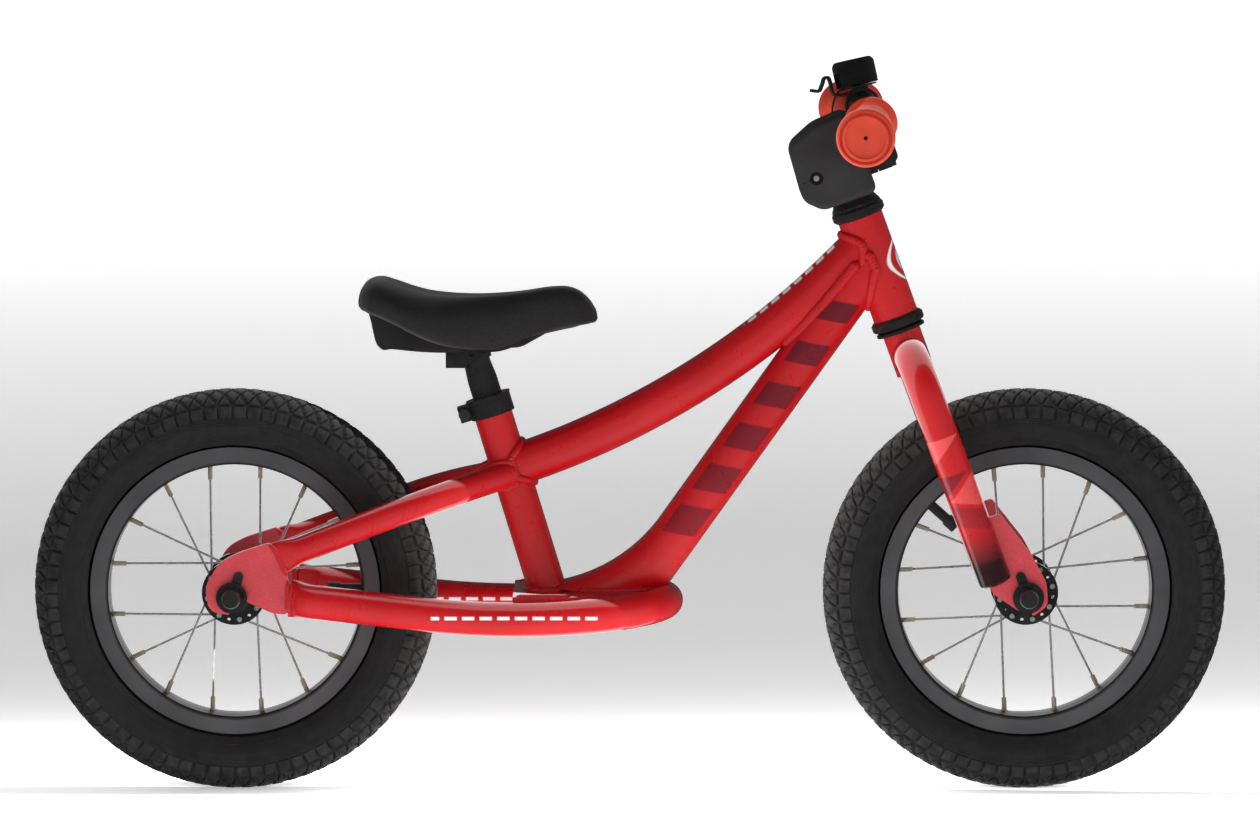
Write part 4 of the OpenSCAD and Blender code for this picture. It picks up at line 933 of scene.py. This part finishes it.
def tread(rows_q, column):
    """Angle and depth of every grid point. q is 0 at the crown and 1 at the tread's edge, and the
    angle leans by 1.1 pitches between the zigzag groove and the crown."""
    q = np.abs(rows_q)[:, None]
    lean = np.clip((0.70 - q) / 0.70, 0, 1)
    turns = column[None, :] + 1.1 * lean
    length = 2 * np.pi * (TYRE_RADIUS - 0.004) / PITCHES
    first = (np.mod(column[None, :] + 0.5, 1) - 0.5) * length + 0 * q
    second = (np.mod(turns + 1.4 * lean + 0.5, 1) - 0.5) * length * 0.6
    zigzag = (q - 0.715 - 0.022 * np.abs(np.mod(2 * column[None, :], 2) - 1)) * TREAD_HALF
    depth = np.maximum(cut(first), cut(zigzag))
    depth = np.maximum(depth, cut(second) * (q < 0.70))
    centre = cut(q * TREAD_HALF + 0.0004 * np.sin(2 * np.pi * turns), 0.0006)
    depth = np.maximum(depth, 0.8 * centre) * (q <= 1.0)
    proud = 0.0007 * (q <= 1.0) + 0.0004 * (np.abs(q - 0.86) < 0.03) * (np.mod(3 * column[None, :], 1) < 0.5)
    return turns * 2 * np.pi / PITCHES, proud - GROOVE * depth


def tyre_points(axle):
    """Section carried round the axle: radius r at angle a is axle + r (sin a, 0, cos a) + y LEFT."""
    column = (np.arange(PITCHES)[:, None] + COLUMN_SHARES[None, :]).ravel()
    angle, lift = tread(row_reach / TREAD_HALF, column)
    r = section[:, :1] + section_normal[:, :1] * lift
    y = section[:, 1:] + section_normal[:, 1:] * lift
    inner_angle = np.repeat(column[None, :] * 2 * np.pi / PITCHES, len(inner_rows), 0)
    angle = np.vstack([angle, inner_angle])
    r = np.vstack([r, np.repeat(inner_rows[:, :1], len(column), 1)])
    y = np.vstack([y, np.repeat(inner_rows[:, 1:], len(column), 1)])
    return axle + np.stack([r * np.sin(angle), y, r * np.cos(angle)], -1)


for end, axle in (("front", front_axle), ("rear", rear_axle)):
    points = tyre_points(axle)
    rubber = tyre_rubber(end + "_tyre_rubber", axle, 0.1315)
    rows, columns = points.shape[:2]
    faces = grid_faces(rows, columns, closed_rows=True)
    tyre = add_piece(end + "_tyre_tread", points, faces, end + "_wheel", rubber, 40)
    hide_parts(end + "_tyre")
    print(tyre.name, "points:", len(tyre.data.vertices))

# %% [markdown]
# ## Grips
# A child's grip has a thin collar at the thumb, a body with fine ribs, and a wide padded end that
# protects the hand and the wall. It is turned rubber in shape, so it is one closed outline spun round
# the bar: the ribs are a small wave added to the radius, and the end is stepped and dished.


# %% Turned shapes
def turned(outline, foot, axis, sides=96):
    """Closed outline of (radius, height) pairs spun round an axis that starts at foot."""
    outline = np.asarray(outline, float)
    helper = FORWARD if abs(axis @ FORWARD) < 0.8 else UP
    first = unit(np.cross(helper, axis))
    second = np.cross(axis, first)
    angle = np.linspace(0, 2 * np.pi, sides, endpoint=False)[None, :, None]
    ring = np.cos(angle) * first + np.sin(angle) * second
    return foot + outline[:, None, :1] * ring + outline[:, None, 1:] * axis


def turned_piece(name, outline, foot, axis, body, material, sides=96, sharp=35):
    points = turned(outline, foot, axis, sides)
    faces = grid_faces(len(outline), sides, closed_rows=True)
    return add_piece(name, points, faces, body, material, sharp)


GRIP_LENGTH = 0.088
ribs = np.arange(0.0115, 0.0695, 0.0005)
rib_radius = smooth_value(ribs, [0.011, 0.030, 0.045, 0.070], [0.0143, 0.0147, 0.0150, 0.0145])
rib_radius = rib_radius + 0.0006 * np.clip(np.sin(2 * np.pi * ribs / 0.0040), -0.3, 1)
grip_outline = ([(0.0111, 0), (0.0185, 0), (0.0192, 0.0005), (0.0194, 0.0014), (0.0192, 0.0026),
                 (0.0186, 0.0033),
                 (0.0160, 0.0040), (0.0148, 0.0052), (0.0143, 0.0085)] + list(zip(rib_radius, ribs))
                + [(0.0146, 0.0710), (0.0153, 0.0750), (0.0172, 0.0775), (0.0192, 0.0790), (0.0204, 0.0803),
                   (0.0210, 0.0822), (0.0211, 0.0845), (0.0208, 0.0862), (0.0199, 0.0873), (0.0188, 0.0876),
                   (0.0183, 0.0870), (0.0180, 0.0860), (0.0172, 0.0860), (0.0168, 0.0868), (0.0164, 0.0880),
                   (0.0156, 0.0884), (0.0146, 0.0882), (0.0142, 0.0872), (0.0110, 0.0866), (0.0060, 0.0862),
                   (0.0017, 0.0861), (0.0014, 0.0855), (0.0014, 0.0800), (0.0111, 0.0795)])
for side, flip in (("left", np.ones(3)), ("right", mirror)):
    foot = (bar_end + grip_dir * (0.004 - GRIP_LENGTH)) * flip
    grip = turned_piece("grip_rubber_" + side, grip_outline, foot, grip_dir * flip, "fork",
                        finish["grip_rubber"], sharp=50)
    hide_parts("grip_" + side)
print("grip outline points:", len(grip_outline))

# %% [markdown]
# ## Bell
# The bell is a glossy cap on a clamp. Its outline has a chamfer at the top edge, a shallow dish and a
# thin groove near the rim, which catch the light as fine lines. The thumb lever is a bent strip: a
# rounded rectangle carried along an S-shaped line, and a thin wire spring curls beside it.

# %% Bell dome, lever and spring
bell_at = bar_high + grip_dir * 0.021
upright = np.array([-math.sin(math.radians(12.4)), 0, math.cos(math.radians(12.4))])
bell_up = unit(np.cross(np.cross(grip_dir, upright), grip_dir))
bell_fore = np.cross(grip_dir, bell_up)
BELL_RADIUS = 0.0163
bell_outline = [(BELL_RADIUS + r * 0.001, z * 0.001) for r, z in (
    (-1.4, 0), (-0.3, 0), (0, 0.3), (0, 1.6), (-0.35, 1.8), (-0.35, 2.3), (0, 2.5), (0, 16.2), (-0.15, 16.9),
    (-0.55, 17.6), (-1.5, 18.9), (-2.1, 19.5), (-2.9, 19.9), (-3.6, 20.0), (-4.3, 19.9), (-4.6, 19.5),
    (-4.8, 19.2),
    (-8.0, 19.1), (-13.7, 19.1), (-13.7, 17.6), (-3.6, 17.6), (-1.6, 15.8))]
dome = turned_piece("bell_cap", bell_outline, bell_at + bell_up * 0.0160, bell_up, "fork",
                    finish["bell_black"], sharp=50)
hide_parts("bell_dome")


def at_bell(fore, left, up):
    return bell_at + fore * bell_fore + left * grip_dir + up * bell_up


def strip(line, across, half_width, half_thick, sides=24):
    """Rounded strip: superellipse rings with exponent 4, wide across and thin in the line's plane."""
    tangent = unit(np.gradient(line, axis=0))
    thin = np.cross(tangent, across)
    angle = np.linspace(0, 2 * np.pi, sides, endpoint=False)[None, :, None]
    c, s = np.cos(angle), np.sin(angle)
    wide = np.sign(c) * np.sqrt(np.abs(c)) * np.reshape(half_width, (-1, 1, 1))
    return line[:, None] + wide * across + np.sign(s) * np.sqrt(np.abs(s)) * half_thick * thin[:, None]


pin = joint_point("bell_lever_pull")
lever_points = np.array([pin + a * bell_fore + b * bell_up for a, b in
                         ((0.002, 0), (-0.007, 0.0001), (-0.0103, 0.0018), (-0.0110, 0.0060),
                          (-0.0110, 0.0120),
                          (-0.0121, 0.0150), (-0.0138, 0.0152), (-0.0175, 0.0103), (-0.0210, 0.0063),
                          (-0.0236, 0.0070), (-0.0268, 0.0083))])
lever_line = smooth_line(lever_points, 90)
half_width = smooth_value(np.linspace(0, 1, 90), [0, 0.3, 0.6, 0.92, 1],
                          [0.0062, 0.0062, 0.0072, 0.0074, 0.0060])
lever = tube_piece("bell_thumb_lever", strip(lever_line, grip_dir, half_width, 0.0012), "bell_lever",
                   finish["black_steel"], 50)
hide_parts("bell_lever")
curl = np.linspace(0, 1, 60)[:, None]
spring_line = (at_bell(-0.0125, -0.0085, 0.0085) + (-0.0120 * np.sin(2.6 * curl)) * bell_fore
               + (0.0075 * np.cos(4.4 * curl) - 0.006 * curl) * bell_up)
tube_piece("bell_spring", rings_on(spring_line, grip_dir, 0.0008, 0.0008, 12), "fork",
           finish["black_steel"])
print("bell at", bell_at.round(4))

# %% [markdown]
# ## Stem pad
# A soft block wraps the stem so that a chin never meets metal. Its side view is an outline of straight
# runs with a different radius at each corner, and it is pushed out sideways with rounded edges. The
# hollow for the stem, the round recesses of the studs and the fine slit are cut with a Boolean,
# because a hole with clean edges is the one thing that a grid does badly.


# %% Rounded outlines and cutting
def rounded_outline(corners, radii, steps=10):
    """Closed outline in a plane, each corner replaced by an arc of its own radius."""
    corners = np.asarray(corners, float)
    pieces = []
    for before, here, after, radius in zip(np.roll(corners, 1, 0), corners, np.roll(corners, -1, 0), radii):
        back, on = unit(before - here), unit(after - here)
        half = math.acos(np.clip(back @ on, -1, 1)) / 2
        centre = here + unit(back + on) * radius / math.sin(half)
        start = here + back * radius / math.tan(half) - centre
        stop = here + on * radius / math.tan(half) - centre
        angle = math.atan2(start[1], start[0])
        turn = (math.atan2(stop[1], stop[0]) - angle + math.pi) % (2 * math.pi) - math.pi
        a = angle + turn * np.linspace(0, 1, steps)
        pieces.append(centre + radius * np.stack([np.cos(a), np.sin(a)], 1))
    return np.vstack(pieces)


def pillow_rings(outline, to_space, half, edge, steps=6):
    """Outline pushed from -half to half with quarter-round edges: at angle t from the face it is
    drawn in by edge (1 - sin t) along its normals and lies edge (1 - cos t) inside the face."""
    run = np.roll(outline, -1, 0) - np.roll(outline, 1, 0)
    inward = unit(np.stack([-run[:, 1], run[:, 0]], 1))
    if np.sum(np.cross(outline, np.roll(outline, -1, 0))) < 0:
        inward = -inward
    t = np.linspace(0, math.pi / 2, steps)
    depth = half - edge * (1 - np.cos(t))
    drawn_in = edge * (1 - np.sin(t))
    sides = np.concatenate([-depth, depth[::-1]])
    shrink = np.concatenate([drawn_in, drawn_in[::-1]])
    flat = outline[None] + shrink[:, None, None] * inward[None]
    return to_space(flat[..., 0], sides[:, None], flat[..., 1])


def to_head(fore, left, up):
    """Arrays forward, left and up of the steering axis to points in space."""
    fore, left, up = np.broadcast_arrays(fore, left, up)
    return (steer_foot + fore[..., None] * steer_fore + left[..., None] * LEFT + up[..., None] * steer_dir)


def cutter(points, faces):
    mesh = bpy.data.meshes.new("cutter")
    mesh.from_pydata(np.asarray(points).reshape(-1, 3).tolist(), [], faces)
    clean = bmesh.new()
    clean.from_mesh(mesh)
    bmesh.ops.recalc_face_normals(clean, faces=clean.faces)
    clean.to_mesh(mesh)
    clean.free()
    obj = bpy.data.objects.new("cutter", mesh)
    bpy.context.scene.collection.objects.link(obj)
    return obj


def cut_with(piece, cutters, sharp=30):
    """Takes the cutters out of the piece, keeps the result as its mesh and removes the cutters."""
    for tool in cutters:
        step = piece.modifiers.new("cut", "BOOLEAN")
        step.operation, step.solver, step.object = "DIFFERENCE", "EXACT", tool
    bpy.context.view_layer.update()
    result = bpy.data.meshes.new_from_object(piece.evaluated_get(bpy.context.evaluated_depsgraph_get()))
    piece.modifiers.clear()
    piece.data = result
    for tool in cutters:
        bpy.data.objects.remove(tool)
    result.shade_smooth()
    result.set_sharp_from_angle(angle=math.radians(sharp))


def block_cutter(fore, left, up):
    """Box between two values of each head coordinate."""
    points = [to_head(*np.array([fore[i], left[j], up[k]],
                                float)) for i in (0, 1) for j in (0, 1) for k in (0, 1)]
    return cutter(points, [[0, 1, 3, 2], [4, 6, 7, 5], [0, 4, 5, 1], [2, 3, 7, 6], [0, 2, 6, 4],
                           [1, 5, 7, 3]])


def round_cutter(centre, direction, radius, reach, sides=48):
    ends = np.array([centre - direction * reach, centre + direction * reach])
    rings = rings_on(ends, UP if abs(direction @ UP) < 0.9 else FORWARD, radius, radius, sides)
    return cutter(rings, grid_faces(2, sides) + end_caps(2, sides))


print("cutting tools ready")

# %% Stem pad and its studs
PAD_HALF = 0.029
pad_low, pad_top = stem_low_up - 0.001, bar_up + 0.0325
pad_corners = [(-0.036, pad_low + 0.012), (-0.024, pad_low + 0.0005), (0.0185, pad_low + 0.0005),
               (0.0185, pad_top),
               (-0.010, pad_top - 0.0015), (-0.033, pad_top - 0.011)]
pad_outline = rounded_outline(pad_corners, [0.012, 0.012, 0.006, 0.008, 0.030, 0.012])
pad = tube_piece("stem_pad_block", pillow_rings(pad_outline, to_head, PAD_HALF, 0.0045, 9), "fork",
                 finish["pad_foam"])
stud_up = bar_up - 0.007
tools = [block_cutter((-0.028, 0.030), (-0.0224, 0.0224), (pad_low - 0.005, bar_up + 0.0195)),
         round_cutter(bar_centre, LEFT, 0.0115, 0.060)]
for side in (-1, 1):
    tools.append(round_cutter(at_head(-0.021, side * PAD_HALF, stud_up), LEFT, 0.0050, 0.0020))
    tools.append(block_cutter((-0.040, -0.0255), (side * PAD_HALF - 0.0008, side * PAD_HALF + 0.0008),
                              (stud_up - 0.0003, stud_up + 0.0003)))
cut_with(pad, tools)
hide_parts("stem_pad")


def stud_face(name):
    """Dark stud with a painted highlight at its centre, a small lighter grey spot, by distance from the line
    through both studs.
    """
    material, tree, shader = new_material(name, Metallic=0.3, Coat_Weight=0.4)
    across = along(tree, at_head(-0.021, 0, stud_up), steer_fore)
    height = along(tree, at_head(-0.021, 0, stud_up), steer_dir)
    squares = math_node(tree, "MULTIPLY_ADD", across, across, math_node(tree, "MULTIPLY", height, height))
    # Painted highlight: a small lighter grey spot at the centre of each dark stud.
    centre = spread(tree, math_node(tree, "SQRT", squares), 0.0019, 0.0022, 1, 0)
    scuffs = spread(tree, noise(tree, 1200, 3), 0.3, 0.7)
    painted_highlight_grey = mixed(tree, scuffs, (0.22, 0.22, 0.22, 1), (0.36, 0.36, 0.36, 1))
    colour_by(tree, shader, mixed(tree, centre, (0.010, 0.010, 0.010, 1), painted_highlight_grey))
    rough_by(tree, shader, spread(tree, scuffs, 0, 1, 0.25, 0.40))
    return material


dress("pad_studs", stud_face("stud_face"))
print("pad faces:", len(pad.data.polygons))

# %% [markdown]
# ## Saddle
# The saddle is a foam cushion under one piece of vinyl, on a moulded shell. Its side view rises at the
# tail, dips where the child sits and rounds over at the nose; from above it is a pear. A grid joins
# the two views: at each station along it, the section is a rounded box between the lower edge and the
# top line. Foam under a tight cover has no loose folds, so the swell and the shallow channel down the
# middle are part of the formula, and the grain of the vinyl is left to the material.

# %% Saddle stations
saddle_at = at_seat(0.189)
top_line = np.array([(-84.7, 36.0), (-83.6, 42), (-81, 47.2), (-75, 51.6), (-68.5, 52.6), (-58.7, 50.0),
                     (-45.7, 45.6),
                     (-32.7, 42.4), (-18.7, 41.0), (1.3, 40.6), (21.3, 41.8), (41.3, 43.8), (60, 46.2),
                     (70, 46.3),
                     (77, 44.4), (84, 39.8), (90.0, 32.3), (92.6, 26.5), (93.3, 22.5)]) * 0.001
low_line = np.array([(-84.7, 36.0), (-83.0, 32.0), (-79, 29.5), (-69.7, 26.0), (-56.7, 20.3), (-43.7, 13.2),
                     (-25.7, 5.0),
                     (-11.7, 1.2), (5, -1.0), (16.3, -1.0), (28.3, 2.0), (41.3, 7.4), (61.3, 13.6),
                     (80, 17.6),
                     (88, 19.2), (92.0, 20.6), (93.3, 22.5)]) * 0.001
wide_line = np.array([(-84.7, 0), (-84.2, 20), (-82.4, 34), (-78, 47), (-70, 56.5), (-58, 61.5), (-45, 62),
                      (-32, 58.5),
                      (-18, 50), (-2, 39), (14, 30.5), (32, 25.5), (52, 23), (70, 21), (80, 18.8), (87, 14.8),
                      (91.3, 9), (93.0, 4), (93.3, 0)]) * 0.001


def saddle_rings(inset=0.0, rows=120, sides=64):
    """Row t lies at x = middle - length/2 cos(pi t). Its ring is a rounded box: the width times
    |cos a|^0.62, and the height above or below its widest level times |sin a|^0.72 or ^0.55.
    Under the middle the underside is hollow by 7.5 mm, which leaves room for the rails."""
    t = np.linspace(0, 1, rows)
    low_x, high_x = top_line[0, 0] + inset, top_line[-1, 0] - inset
    x = (low_x + high_x) / 2 - (high_x - low_x) / 2 * np.cos(np.pi * t)
    top = smooth_value(x, *top_line.T) - inset
    low = smooth_value(x, *low_line.T) + inset * 0.5
    wide = np.maximum(smooth_value(x, *wide_line.T) - inset, 0.0004)
    top, low = np.maximum(top, (top + low) / 2), np.minimum(low, (top + low) / 2)
    level = low + 0.34 * (top - low)
    a = np.linspace(0, 2 * np.pi, sides, endpoint=False)[None, :]
    c, s = np.cos(a), np.sin(a)
    tuck = 1 - 0.10 * np.clip(-s, 0, 1)
    y = wide[:, None] * np.sign(c) * np.abs(c) ** 0.62 * tuck
    up = (top - level)[:, None] * np.abs(s) ** 0.72
    down = (level - low)[:, None] * np.abs(s) ** 0.55
    middle_share = (ease(x, -0.058, -0.030) * (1 - ease(x, 0.035, 0.060)))[:, None]
    down = down - 0.0075 * middle_share * np.clip(1 - (y / (0.72 * wide[:, None])) ** 2, 0, 1) * (s < -0.5)
    z = level[:, None] + np.where(s > 0, up, -down)
    channel = 0.0022 * np.exp(-(y / 0.008) ** 2) * ease(x, -0.070,
                                                        -0.030)[:, None] * (1 - ease(x, 0.02, 0.06))[:, None]
    z = z - channel * (s > 0.3)
    return saddle_at + np.stack([np.repeat(x[:, None], sides, 1), y, z], -1)


cover_rings = saddle_rings()
cover = tube_piece("saddle_cushion", cover_rings, "seat", finish["saddle_skin"], 60)
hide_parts("saddle_cover")
print("saddle cushion points:", len(cover.data.vertices))

# %% Saddle shell
shell_low = np.array([(-78, 30), (-75.5, 22), (-72, 6.5), (-68, 1.0), (-60, 0.7), (-48, -0.3), (-36, -1.2),
                      (-24, -1.6), (-8, -1.6),
                      (8, -1.8), (22, -0.6), (34, 3.4), (50, 10.6), (66, 14.4), (80, 17.6),
                      (84, 19.5)]) * 0.001
x = np.linspace(shell_low[0, 0], shell_low[-1, 0], 110)
shell_top = smooth_value(x, *low_line.T) + 0.008
shell_bottom = np.minimum(smooth_value(x, *shell_low.T), shell_top - 0.001)
narrow = smooth_value(x, [-0.078, -0.070, -0.050, -0.020, 0.010, 0.050, 0.084],
                      [0.016, 0.024, 0.030, 0.029, 0.023, 0.017, 0.008])
a = np.linspace(0, 2 * np.pi, 48, endpoint=False)[None, :]
y = narrow[:, None] * np.sign(np.cos(a)) * np.abs(np.cos(a)) ** 0.4
z = (((shell_top + shell_bottom) / 2)[:, None]
     + ((shell_top - shell_bottom) / 2)[:, None] * np.sign(np.sin(a)) * np.abs(np.sin(a)) ** 0.4)
shell_rings = saddle_at + np.stack([np.repeat(x[:, None], 48, 1), y, z], -1)
shell = tube_piece("saddle_shell_pan", shell_rings, "seat", finish["saddle_shell"], 45)
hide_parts("saddle_base")
print("shell height:", round(float((shell_top - shell_bottom).max()), 4))

# %% [markdown]
# ## Marks on the top tube and the head tube
# The tubes keep their design shape here and only get their own paint. The top tube carries a short
# row of plain dashes on its upper edge, and the head tube a plain ring and disc at its front.


# %% Top tube and head tube paint
def top_dashes(tree, colour):
    """Dashes where the point is high on the tube and between two distances along it."""
    way = along(tree, top_end, -unit(chord))
    side = along(tree, top_end, LEFT)
    row = between(tree, side, -0.0075, 0.0075)
    repeat = math_node(tree, "PINGPONG", way, 0.0055)
    dashes = math_node(tree, "MULTIPLY", between(tree, repeat, 0.0018, 0.0080),
                       between(tree, way, 0.024, 0.112))
    offset_x, offset_z = along(tree, top_centre, FORWARD), along(tree, top_centre, UP)
    squares = math_node(tree, "MULTIPLY_ADD", offset_x, offset_x,
                        math_node(tree, "MULTIPLY", offset_z, offset_z))
    upper = spread(tree, math_node(tree, "SQRT", squares), TOP_BEND - 0.003, TOP_BEND - 0.0025, 1, 0)
    return mixed(tree, math_node(tree, "MULTIPLY", math_node(tree, "MULTIPLY", dashes, row), upper), colour,
                 WHITE)


def round_badge(tree, colour):
    """White ring, then a thin red gap, then a plain slate disc, by distance from one point."""
    middle_up = (head_low_up + head_high_up) / 2
    up = along(tree, at_head(0, 0, middle_up), steer_dir)
    side = along(tree, at_head(0, 0, middle_up), LEFT)
    fore = along(tree, at_head(0, 0, middle_up), steer_fore)
    squares = math_node(tree, "MULTIPLY_ADD", up, up, math_node(tree, "MULTIPLY", side, side))
    squares = math_node(tree, "ADD", squares,
                        math_node(tree, "MULTIPLY", 0.15, math_node(tree, "MULTIPLY", side, side)))
    radius = math_node(tree, "SQRT", squares)
    front = spread(tree, fore, 0.0, 0.001)
    ring = math_node(tree, "MULTIPLY", between(tree, radius, 0.0145, 0.0165), front)
    disc = math_node(tree, "MULTIPLY", spread(tree, radius, 0.0090, 0.0094, 1, 0), front)
    return mixed(tree, disc, mixed(tree, ring, colour, WHITE), (0.62, 0.63, 0.66, 1))


dress("top_tube", red_paint("top_tube_paint", top_dashes))
dress("head_tube", red_paint("head_tube_paint", round_badge))
print("painted top tube and head tube")

# %% [markdown]
# ## Floor
# The floor and backdrop are one very wide bowl: flat under the bike, then a quarter circle, then
# upright, so far out that a camera on any side still stands inside it. It glows, more so far away
# where the lights no longer reach, and mirror-like paint doesn't see it: black parts keep their tone.

# %% Floor and backdrop
FLAT_RADIUS, CURVE_RADIUS, WALL_HEIGHT, AROUND = 24.0, 3.0, 10.0, 128
bend = np.linspace(0, math.pi / 2, 24)
curve = np.stack([FLAT_RADIUS + CURVE_RADIUS * np.sin(bend), CURVE_RADIUS - CURVE_RADIUS * np.cos(bend)], 1)
profile = np.vstack([[[0.5, 0.0]], curve, [[FLAT_RADIUS + CURVE_RADIUS, WALL_HEIGHT]]])
turn = np.linspace(0, 2 * np.pi, AROUND, endpoint=False)[None, :]
floor_points = np.stack([profile[:, :1] * np.cos(turn), profile[:, :1] * np.sin(turn),
                         np.repeat(profile[:, 1:], AROUND, 1)], -1).reshape(-1, 3)
floor_mesh = bpy.data.meshes.new("floor")
floor_mesh.from_pydata(floor_points.tolist(), [], grid_faces(len(profile), AROUND) + [list(range(AROUND))])
floor_mesh.shade_smooth()
floor = bpy.data.objects.new("floor", floor_mesh)
floor.visible_glossy = False
pale, pale_tree, pale_shader = new_material("pale_floor", Roughness=0.7, Specular_IOR_Level=0.2)
pale_clouds = noise(pale_tree, 1.2, 2)
pale_colour = mixed(pale_tree, pale_clouds, (0.86, 0.86, 0.86, 1), (0.90, 0.90, 0.90, 1))
colour_by(pale_tree, pale_shader, pale_colour)
pale_shader.inputs["Emission Color"].default_value = (1, 1, 1, 1)
out_x, out_y = along(pale_tree, (0, 0, 0), FORWARD), along(pale_tree, (0, 0, 0), LEFT)
out_squares = math_node(pale_tree, "MULTIPLY_ADD", out_x, out_x,
                        math_node(pale_tree, "MULTIPLY", out_y, out_y))
glow = spread(pale_tree, math_node(pale_tree, "SQRT", out_squares), 1.5, 6.0, 0.38, 0.92)
pale_tree.links.new(glow, pale_shader.inputs["Emission Strength"])
floor_mesh.materials.append(pale)
bpy.context.scene.collection.objects.link(floor)
print("floor points:", len(floor_points))
